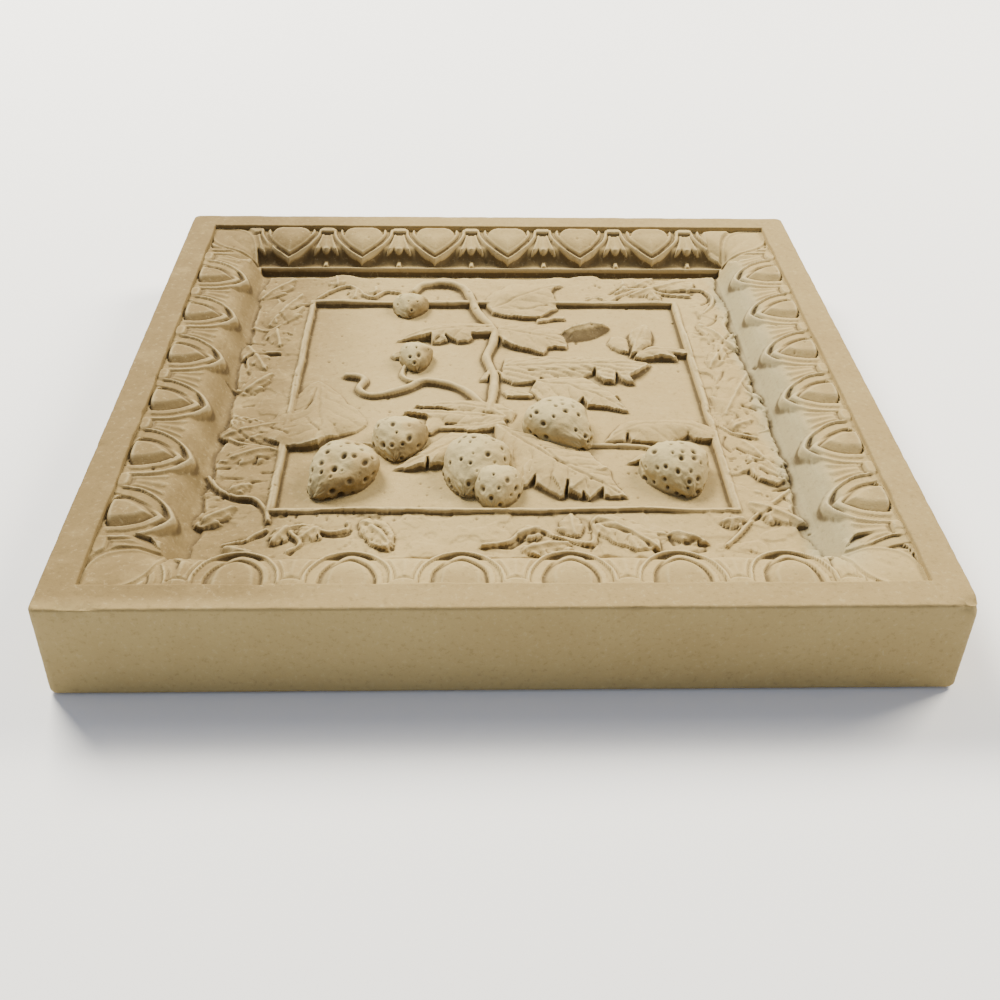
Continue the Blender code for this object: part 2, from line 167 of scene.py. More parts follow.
# Egg and dart; a value with Worn in its name acts only where a side is worn
border = {
    "crestTop": 36.5, "crestFall": 5.8, "crestStart": 2, "crestLong": 20.3, "crestWorn": 0.42,
    "footStart": 14, "footEnd": 21, "footWorn": 2.5, "scallopWorn": 1.2, "recess": 1.5,
    "eggHalf": 10.6, "eggMiddle": 7, "eggUp": 6.3, "eggHigh": 1.1, "eggHighWorn": 1.75, "topShoulder": 1.0,
    "shoulder": 6, "shoulderWorn": 4, "lip": 0.45, "lipWorn": 1.7,
    "bandHalf": 14.8, "bandStart": 3, "bandLong": 19.8, "bandWide": 3.9, "bandWideWorn": 1.7, "seam": 0.4,
    "groove": 2.2, "grooveWorn": 0.8, "gape": 0.8, "sunkWorn": 1.6, "slopeWorn": 2.2,
    "blockHalf": 3.9, "blockMiddle": 2.1, "blockLong": 2.2, "blockTop": 36.9, "hole": 1.8,
    "neck": 2.4, "flare": 3.6, "fanStart": 5, "fanLong": 12.5, "fanEnd": 14.6, "fanCusp": 2.4, "flute": 0.85,
    "stalk": 1.5,
}

# North, east, south and west; gapes is the side of an arch, with or against along, where its groove is wider
mouldings = [
    {"out": (0, 1), "along": (1, 0), "eggAt": 8.2, "pitch": 36.4, "worn": 0, "fullness": 1, "gapes": 0},
    {"out": (1, 0), "along": (0, -1), "eggAt": 17.8, "pitch": 36.5, "worn": 1, "fullness": 1.4, "gapes": -1},
    {"out": (0, -1), "along": (-1, 0), "eggAt": 15.8, "pitch": 37.1, "worn": 1, "fullness": 1.9, "gapes": 1},
    {"out": (-1, 0), "along": (0, 1), "eggAt": 13.5, "pitch": 37.2, "worn": 1, "fullness": 1.4, "gapes": 1},
]


# crest of the moulding at a distance in from the rim: a curve that falls faster and faster
def crestHeight(d, worn):
    b = border
    fall = b["crestFall"] * (1 - b["crestWorn"] * worn)
    return b["crestTop"] - fall * np.clip((d - b["crestStart"]) / b["crestLong"], 0, 1.15) ** 1.6


# band = two ridges with a groove between them, along the curve (|v| / half)^fullness + (e / long)^2 = 1;
# away is the distance out of that curve, and t runs from 0 on it to 1 at the band's inner edge
# gives the band's height, the ground lowered inside worn bands, and the distance in from the band
def bandHeight(v, d, crest, foot, ground, row):
    b = border
    worn, fullness = row["worn"], row["fullness"]
    e = np.clip((d - b["bandStart"]) / b["bandLong"], 0, 2)
    side = np.maximum(np.abs(v) / b["bandHalf"], 1e-6)
    steep = np.sqrt((fullness * side ** (fullness - 1) / b["bandHalf"]) ** 2 + (2 * e / b["bandLong"]) ** 2)
    away = (side ** fullness + e * e - 1) / np.maximum(steep, 0.03)
    wide = b["bandWide"] + b["bandWideWorn"] * worn
    ground = ground - b["sunkWorn"] * worn * easeStep(wide - 0.6, wide + 0.6, -away)

    t = -away / wide
    gaping = worn * easeStep(-1, 8, v * row["gapes"])
    outer = np.exp(-(np.clip(t - 0.14 + 0.04 * worn, 0, 1) / (0.17 - 0.08 * worn)) ** 2)
    innerAt = 0.92 - 0.2 * worn + 0.24 * gaping
    inner = (0.9 - 0.4 * gaping) * np.exp(-(np.clip(innerAt - t, 0, 1) / (0.15 + 0.05 * worn)) ** 2)
    deep = b["groove"] + b["grooveWorn"] * worn + b["gape"] * gaping
    deep = deep * (1 - 0.6 * worn * easeStep(0.75, 0.98, e))
    inBand = (1 - easeStep(-0.1, 0.9 + 1.3 * worn * foot, away)) * easeStep(0.6, 1.4, d)
    end = -wide - b["seam"]
    inBand = inBand * easeStep(end - 0.01 - b["slopeWorn"] * worn, end, away)
    band = ground + (crest - deep * (1 - np.maximum(outer, inner)) - ground) * inBand
    return band, ground, -away - wide


# egg = dome inside the band: 1 - lack^2 to a power, where lack falls from 1 at the egg's edge to 0 inside;
# a superellipse closes its top under the rim, except on the fullest arches, which run on to the rim
def eggHeight(v, d, inward, crest, ground, row):
    b = border
    worn = row["worn"]
    low = np.clip((inward - b["seam"] * 0.4) / (b["shoulder"] + b["shoulderWorn"] * worn), 0, 1)
    up = np.clip(b["eggMiddle"] - d, 0, 20) / b["eggUp"]
    arc = (1 - (np.abs(v / b["eggHalf"]) ** 2.8 + up ** 2.8) ** (1 / 2.8)) * b["eggUp"] / b["topShoulder"]
    high = np.where((d < b["eggMiddle"]) & (row["fullness"] < 1.8), np.clip(arc, 0, 1), 1)
    lack = ((1 - low) ** 3 + (1 - high) ** 3) ** (1 / 3)
    dome = np.clip(1 - lack ** 2, 0, 1) ** (0.5 + 0.4 * worn)
    lip = crest - b["lip"] - b["lipWorn"] * worn - (1.2 - 0.8 * worn) * (1 - high)
    full = b["eggHigh"] + b["eggHighWorn"] * worn
    egg = np.where((low > 0) & (high > 0), lip + (full * dome + 0.5) * dome, ground - 1)
    return np.where((low > 0) & (high <= 0) & (worn > 0), crest - 0.6, egg)


# dart = rounded block over a fan of three ribs that flares and ends in three cusps, with a stalk where crisp
def dartHeight(w, d, crest, ground, base, worn):
    b = border
    q = (np.abs(w) / b["blockHalf"]) ** 3 + (np.abs(d - b["blockMiddle"]) / b["blockLong"]) ** 3
    block = ground + (b["blockTop"] - ground) * (1 - easeStep(0.4, 1.5, q))
    f = np.clip((d - b["fanStart"]) / b["fanLong"], 0, 1.1)
    half = b["neck"] + b["flare"] * f ** 1.7
    across = w / half
    end = b["fanEnd"] + b["fanCusp"] * np.abs(np.cos(np.pi * np.clip(across, -1.2, 1.2))) ** 0.7
    flutes = 0.5 - 0.5 * np.cos(2 * np.pi * across)
    fanTop = crest - 0.25 - b["flute"] * flutes * np.clip(f, 0.1, 1) ** 0.6
    inFan = (1 - easeStep(-0.3, 0.7, np.abs(w) - half)) * (1 - easeStep(-0.4, 0.5, d - end))
    inFan = inFan * easeStep(4.6, 5.6, d)
    fan = ground + (fanTop - ground) * inFan
    fan = fan - b["hole"] * np.exp(-(w / 1.5) ** 2 - ((d - 5.3) / 0.9) ** 2)
    stalk = b["stalk"] * (1 - worn) * (1 - easeStep(0.6, 1.5, np.abs(w)))
    stalk = stalk * easeStep(15, 17, d) * (1 - easeStep(22.3, 23.4, d))
    return np.maximum.reduce([block, fan, base + stalk])


# height of one row at u along the side and d in from the rim: the highest of ground, band, egg and dart
# v is the distance along from the nearest egg's middle, and w from the nearest dart's
def rowHeight(u, d, base, row):
    b = border
    worn, pitch = row["worn"], row["pitch"]
    v = u - row["eggAt"] - np.round((u - row["eggAt"]) / pitch) * pitch
    w = np.abs(v) - pitch / 2
    v = v + 0.3 * latticeNoise(u, d, 5, 11)
    crest = crestHeight(d, worn) + 0.12 * latticeNoise(u, d, 9, 12)
    scallop = worn * b["scallopWorn"] * np.cos(2 * np.pi * w / pitch)
    foot = easeStep(b["footStart"] + b["footWorn"] * worn + scallop, b["footEnd"] + scallop, d)
    ground = (crest - b["recess"] * (1 - 0.35 * worn)) * (1 - foot) + base * foot
    ground = ground + worn * 0.6 * (1 - easeStep(1.5, 3.5, d))
    band, ground, inward = bandHeight(v, d, crest, foot, ground, row)
    egg = eggHeight(v, d, inward, crest, ground, row)
    dart = dartHeight(w, d, crest, ground, base, worn)
    return np.maximum.reduce([egg, band, dart, ground])


print("Carving the border")
around = np.maximum(np.abs(gridX), np.abs(gridY))
wavy = around + 0.22 * roughness(gridX, gridY, 17, 3)
crisp = np.interp(wavy, [p[0] for p in cove["crisp"]], [p[1] for p in cove["crisp"]])
soft = np.interp(wavy, [p[0] for p in cove["soft"]], [p[1] for p in cove["soft"]])
northern = easeStep(-4, 2, gridY - np.abs(gridX) + 2 * latticeNoise(gridX, gridY, 8, 5))
height = soft + (crisp - soft) * northern
for row in mouldings:
    out = gridX * row["out"][0] + gridY * row["out"][1]
    along = gridX * row["along"][0] + gridY * row["along"][1]
    mine = (out >= np.abs(along)) & (out > 115.4)
    d = tile["rimInner"] - out[mine]
    carved = rowHeight(along[mine], d, height[mine], row)
    height[mine] += (carved - height[mine]) * (1 - easeStep(23.6, 24.6, d))

corner = {"start": 0.6, "long": 33, "half": 10, "lip": 1.2, "rise": 1.2, "moat": 1.1, "edge": 0.8,
          "fill": 1.6, "footStart": 14}


# smooth leaf over each mitre, pointed at both ends: half width = a sine of the way along the diagonal
# beside it the moulding is filled up to a little under its crest
def addCorners():
    c = corner
    gx, gy = tile["rimInner"] - np.abs(gridX), tile["rimInner"] - np.abs(gridY)
    at = (gx < 30) & (gy < 30)
    gx, gy = gx[at], gy[at]
    p, q = (gx + gy) / math.sqrt(2), (gx - gy) / math.sqrt(2)
    d = np.minimum(gx, gy)
    worn = 1 - northern[at]
    end = c["footStart"] + 6 * worn
    filled = crestHeight(d, worn) - c["fill"] - 7 * easeStep(end, end + 6, d)
    filled = filled - 4 * easeStep(9, 14, np.abs(q))
    height[at] = np.maximum(height[at], filled)
    along = np.clip((p - c["start"]) / c["long"], 0, 1)
    margin = c["half"] * np.sin(np.pi * along ** 0.85) - np.abs(q)
    top = crestHeight(d, worn) - 2.5 * easeStep(0.75, 1, along)
    inside = top - 1.2 + c["rise"] * np.clip((margin - c["lip"]) / 7, 0, 1) ** 0.6
    inside = inside + c["edge"] * np.exp(-(margin / 0.9 - 0.9) ** 2)
    moat = np.minimum(height[at], top - c["moat"] * (1 - easeStep(1.0, 2.4, -margin)))
    risen = moat + (inside - moat) * easeStep(-0.5, 0.5, margin)
    height[at] = np.where(along < 1, risen, height[at])


addCorners()

# Sunk panel: its outer bands are lifted, with a ragged edge; stems and blades stand on the field called rise
plateau = {"high": 1.5, "edge": 110.5, "fold": 0.75, "southern": 0.35, "leafFoot": 0.4}
floorWave = 0.22 * roughness(gridX, gridY, 46, 71) + 0.06 * roughness(gridX, gridY, 7, 75)
height += np.where(around < 113, floorWave, 0.4 * floorWave)
ragged = around + 2.2 * roughness(gridX, gridY, 12, 301, 3)
lifted = plateau["high"] * (1 - easeStep(plateau["edge"] - 0.8, plateau["edge"] + 0.8, ragged))
lifted *= 1 - plateau["southern"] * easeStep(70, 95, -gridY)
rise = lifted.copy()
# painted shade that a blade with a shade strength lays on its slope below the crest
paintedLeafShade = np.zeros_like(height)

bead = {"west": -86, "east": 87.6, "south": -82.5, "north": 82.6, "half": 1.6, "high": 3.0}


# half-round ridge along a rectangle, where the lift of the outer bands ends and rise slopes down
def addBead():
    b = bead
    at = patch(-95, 95, -92, 92)
    x, y = gridX[at], gridY[at]
    x = x + 0.35 * roughness(x, y, 13, 21)
    y = y + 0.35 * roughness(x, y, 13, 24)
    cx, cy = (b["west"] + b["east"]) / 2, (b["south"] + b["north"]) / 2
    hx, hy = (b["east"] - b["west"]) / 2, (b["north"] - b["south"]) / 2
    away = np.maximum(np.abs(x - cx) - hx, np.abs(y - cy) - hy)
    rise[at] = lifted[at] * easeStep(-4, 5, away)
    lifted[at] *= easeStep(-0.4, 0.8, away)
    share = np.clip(1 - np.abs(away / b["half"]) ** 3, 0, 1)
    high = b["high"] * (1 + 0.18 * latticeNoise(x, y, 19, 31))
    height[at] = fillet(tile["floorZ"] + high * np.sqrt(share) - 0.1, height[at], 0.25)


# round bar along a route: height falls off as a circle does with the distance from the line
def addStem(points, wide, endWide=None, high=1.0, lift=0):
    route = smoothRoute(points)
    endWide = wide if endWide is None else endWide
    lo, hi = route.min(0) - wide, route.max(0) + wide
    at = patch(lo[0], hi[0], lo[1], hi[1])
    x, y = gridX[at], gridY[at]
    best, share = np.full(x.shape, 1e9), np.zeros(x.shape)
    for i in range(len(route) - 1):
        a, step = route[i], route[i + 1] - route[i]
        t = np.clip(((x - a[0]) * step[0] + (y - a[1]) * step[1]) / (step @ step), 0, 1)
        off = (x - a[0] - t * step[0]) ** 2 + (y - a[1] - t * step[1]) ** 2
        closer = off < best
        best, share = np.where(closer, off, best), np.where(closer, (i + t) / (len(route) - 1), share)
    radius = (wide + (endWide - wide) * share) / 2
    radius = radius * (1 + 0.12 * latticeNoise(x, y, 5, 41))
    fall = np.clip(1 - best / radius ** 2, 0, 1)
    raised = tile["floorZ"] + rise[at] + lift - 0.1 + radius * 1.5 * high * fall ** 0.5
    height[at] = np.where(fall > 0, fillet(raised, height[at], 0.3), height[at])


leafShape = {"teeth": 3, "widest": 0.42, "lean": 0.55}


# low leaf: width swells and shrinks from base to tip, its edge a saw whose teeth lean to the tip
# height falls from crown to edge, with a raised midrib, ridged veins and a wall within the given run
def addLeaf(base, tip, left, right, edge, crown, tooth, run, vein, seed):
    bx, by = base
    dx, dy = tip[0] - bx, tip[1] - by
    long = math.hypot(dx, dy)
    dx, dy = dx / long, dy / long
    pad = max(left, right) + 3
    at = patch(min(bx, tip[0]) - pad, max(bx, tip[0]) + pad, min(by, tip[1]) - pad, max(by, tip[1]) + pad)
    x, y = gridX[at], gridY[at]
    s = ((x - bx) * dx + (y - by) * dy) / long
    t = -(x - bx) * dy + (y - by) * dx + 0.3 * latticeNoise(x, y, 4, seed + 50)
    isLeft = t > 0
    wide = np.where(isLeft, left, right)
    inside = (s > 0) & (s < 1)
    power = math.log(0.5) / math.log(leafShape["widest"])
    swell = np.sin(np.pi * np.clip(s, 0, 1) ** power) ** 0.75
    side = (s - leafShape["lean"] * np.abs(t) / long) * leafShape["teeth"] + 0.35 * isLeft
    saw = side - np.floor(side)
    uneven = 0.8 + 0.4 * latticeNoise(np.floor(side) * 7.3, wide, 1, seed)
    cut = tooth * (1 - saw ** 0.9) * easeStep(0.02, 0.2, s) * uneven
    reach = wide * swell * (1 - cut)
    share = np.clip(np.abs(t) / np.maximum(wide * swell, 0.5), 0, 1)
    margin = np.minimum(reach - np.abs(t), np.minimum(s, 1 - s) * long)
    edgeHigh = np.where(isLeft, edge[0], edge[1])
    edgeHigh = edgeHigh * (0.75 + 0.25 * easeStep(0, 0.25, s)) * (1 - 0.25 * easeStep(0.7, 1, s))
    swollen = (crown - edgeHigh) * (1 - share) ** 1.2 * easeStep(-0.05, 0.3, s)
    top = edgeHigh + swollen * (1 - 0.55 * easeStep(0.5, 1, s))
    ribs = np.cos(2 * np.pi * (side - 0.9))
    ribs = vein * (0.55 * ribs + 0.45 * np.clip(ribs, 0.55, 1))
    top = top + ribs * easeStep(0.05, 0.3, share) * easeStep(0, 1.5, margin)
    top = top + vein * 1.3 * np.exp(-(t / 0.8) ** 2) - vein * 0.8 * np.exp(-((np.abs(t) - 1.8) / 0.9) ** 2)
    top = top + 0.14 * roughness(x, y, 3.1, seed + 60)
    drop = easeStep(0, 1, margin / np.where(isLeft, run[0], run[1]))
    raised = tile["floorZ"] + plateau["high"] + plateau["leafFoot"] + top * drop
    height[at] = np.where(inside & (margin > 0), np.maximum(raised, height[at]), height[at])


# distance from each place to a line through points, and there the third value and the way along the line
def nearestOn(line, x, y):
    away, third, along, total = np.full(x.shape, 1e9), np.zeros(x.shape), np.zeros(x.shape), 0
    for (ax, ay, ah), (bx, by, bh) in zip(line, line[1:]):
        dx, dy = bx - ax, by - ay
        long = math.hypot(dx, dy)
        t = np.clip(((x - ax) * dx + (y - ay) * dy) / long ** 2, 0, 1)
        off = np.hypot(x - ax - t * dx, y - ay - t * dy)
        closer = off < away
        away = np.where(closer, off, away)
        third = np.where(closer, ah + (bh - ah) * t, third)
        along = np.where(closer, total + t * long, along)
        total += long
    return away, third, along


# broad leaf inside an outline of (x, y, edge height): between outline and crest line the height follows
# 1 - share^bulge, share being the distance from the crest over the distance between the two; folds at even
# gaps run from the crest to the outline and lean forwards
# a blade with a shade strength gets painted shade on its slope below the crest
def addBlade(outline, crest, seed, run=0.45, bulge=2.2, vein=0.3, gap=9, lean=0.9, paintedShadeStrength=0, lift=0):
    closed = outline + outline[:1]
    lo, hi = np.min(outline, axis=0), np.max(outline, axis=0)
    at = patch(lo[0] - 2, hi[0] + 2, lo[1] - 2, hi[1] + 2)
    x, y = gridX[at], gridY[at]
    x, y = x + 0.45 * roughness(x, y, 5, seed + 300, 2), y + 0.45 * roughness(x, y, 5, seed + 340, 2)
    inside = np.zeros(x.shape, bool)
    for (ax, ay, _), (bx, by, _) in zip(closed, closed[1:]):
        if ay != by:
            inside ^= ((ay > y) != (by > y)) & (x < (bx - ax) * (y - ay) / (by - ay) + ax)
    margin, edgeHigh, _ = nearestOn(closed, x, y)
    off, crestHigh, along = nearestOn(crest, x, y)
    share = off / (off + margin + 1e-6)
    top = edgeHigh + (crestHigh - edgeHigh) * (1 - share ** bulge)
    way = (along - lean * off + 2.2 * latticeNoise(x, y, 11, seed + 20)) / gap
    fold = np.abs(way - np.round(way)) * 2
    middle = easeStep(0.05, 0.35, share) * (1 - 0.5 * easeStep(0.7, 1, share))
    top = top + vein * (0.5 - fold - 0.8 * np.exp(-((1 - fold) / 0.16) ** 2)) * middle
    top = top - 1.6 * vein * np.exp(-(off / 0.6) ** 2) + 0.1 * roughness(x, y, 3.1, seed + 60)
    top = top + 0.28 * roughness(x, y, 9, seed + 80, 2) * easeStep(0, 3, margin)
    drop = easeStep(0, 1, margin / run)
    ground = tile["floorZ"] + rise[at] + lift - 0.1
    raised = ground + np.maximum(top, 0.15) * drop
    # painted shade on the slope, growing from the crest outwards
    paintedLeafShade[at] = np.where(inside & (raised > height[at]), paintedShadeStrength * easeStep(0, 0.5, share), paintedLeafShade[at])
    height[at] = np.where(inside, np.maximum(raised, height[at]), height[at])


# thin groove along a route: depth = a bell curve of the distance from it
def addScore(points, deep=0.6, half=0.55):
    route = smoothRoute(points, 6)
    lo, hi = route.min(0) - 2, route.max(0) + 2
    at = patch(lo[0], hi[0], lo[1], hi[1])
    away, _, _ = nearestOn([(px, py, 0) for px, py in route], gridX[at], gridY[at])
    height[at] -= deep * np.exp(-(away / half) ** 2) * (1 + 0.4 * latticeNoise(gridX[at], gridY[at], 3, 47))


leafletShape = {"step": 13, "long": (10, 14), "half": (4.2, 6.2), "crown": (1.2, 1.7), "outerEdge": 113}


# small leaves at even steps along a route, to one side and the other in turn, clear of bead and border
def addLeaflets(points, dice):
    shape = leafletShape
    route = smoothRoute(points, 10)
    runs = np.hypot(*np.diff(route, axis=0).T)
    total = np.concatenate([[0], np.cumsum(runs)])
    for k in range(1, int(total[-1] / shape["step"])):
        i = int(np.searchsorted(total, k * shape["step"] + dice.uniform(-2, 2)))
        i = min(max(i, 1), len(route) - 2)
        heading = math.atan2(route[i + 1][1] - route[i][1], route[i + 1][0] - route[i][0])
        heading += (1 if k % 2 else -1) * dice.uniform(0.6, 1.3)
        long, half = dice.uniform(*shape["long"]), dice.uniform(*shape["half"])
        tip = (route[i][0] + long * math.cos(heading), route[i][1] + long * math.sin(heading))
        farOut = max(abs(tip[0]), abs(tip[1])) > shape["outerEdge"]
        if farOut or (abs(tip[0]) < 88 and abs(tip[1]) < 84):
            continue
        addLeaf(base=tuple(route[i]), tip=tip, left=half, right=half * dice.uniform(0.7, 1.2),
                crown=dice.uniform(*shape["crown"]), edge=(0.4, 0.5), tooth=0.3, run=(1.8, 1.4), vein=0.3,
                seed=400 + k)


# main stem and the stalks that branch from it, over the middle of the panel
stems = [
    dict(points=[(-38, 92), (-34, 98), (-24, 101), (-14, 96), (-10, 84), (-6, 70), (0, 56), (-1, 44),
                 (-4, 32), (-1, 16), (-2, 0), (-4, -14)], wide=4.6, endWide=4.2),
    dict(points=[(-65, 16), (-60, 15), (-57, 12), (-59, 5), (-54, 0), (-45, 2), (-38, 6), (-32, 11),
                 (-24, 10), (-14, 4), (-6, -8), (2, -18)], wide=3.4, endWide=3.8),
    dict(points=[(-31, 11), (-37, 12), (-41, 17), (-40, 24)], wide=2.6),
    dict(points=[(34, -38), (46, -38), (58, -39), (63, -42)], wide=2.8, high=0.9),
    dict(points=[(-46, -38), (-54, -36), (-62, -36)], wide=2.2, high=0.8),
]

# vine in the outer bands, with leaflets to both sides
vines = [
    dict(points=[(-84, 88), (-77, 97), (-70, 101), (-65, 97), (-62, 92), (-57, 89), (-52, 95),
                 (-45, 94)], wide=2.8, high=1.1),
    dict(points=[(56, 86), (63, 93), (72, 98), (84, 94), (96, 92)], wide=2.6, high=0.9),
    dict(points=[(60, 95), (66, 99), (76, 99), (88, 93)], wide=2.2, high=0.9),
    dict(points=[(96, 98), (103, 98), (107, 90), (104, 80), (100, 74)], wide=2.6, high=1),
    dict(points=[(45, 88), (50, 91), (56, 87)], wide=2, high=0.9),
    dict(points=[(112, 55), (106, 47), (101, 43), (100, 31)], wide=2.6, high=1),
    dict(points=[(88, -14), (92, -24), (98, -30), (104, -33)], wide=2.6, high=1),
    dict(points=[(110, -68), (100, -78), (92, -86), (86, -94), (80, -101)], wide=2.6, high=1),
    dict(points=[(88, -110), (94, -108), (102, -111)], wide=2.4, high=0.9),
    dict(points=[(62, -95), (52, -94), (45, -92), (42, -87), (37, -85), (33, -87), (33, -94),
                 (31, -100), (21, -96), (12, -92), (6, -94), (1, -99), (-8, -101)], wide=2.8, high=1.1),
    dict(points=[(-57, -87), (-57, -91), (-64, -93), (-72, -89), (-77, -90), (-77, -93), (-73, -99),
                 (-77, -104)], wide=2.6, high=1),
    dict(points=[(-112, -58), (-107, -67), (-100, -72), (-93, -73), (-88, -79), (-86, -86)], wide=2.8,
         high=1.1),
    dict(points=[(-96, 36), (-104, 35), (-109, 31), (-108, 20)], wide=2.6, high=1),
    dict(points=[(-100, -100), (-92, -96), (-86, -91)], wide=2.2, high=0.9),
    dict(points=[(-103, 88), (-98, 76), (-90, 82), (-84, 86)], wide=2.2, high=0.8),
    dict(points=[(-114, 8), (-109, 3), (-103, 2)], wide=2.4, high=1),
    dict(points=[(-112, -30), (-104, -36), (-94, -39), (-88, -41)], wide=2.4, high=1),
    dict(points=[(112, 14), (106, 8), (103, -4), (108, -14)], wide=2.2, high=0.9),
    dict(points=[(-112, 60), (-104, 56), (-98, 62), (-92, 74)], wide=2.2, high=0.8),
]

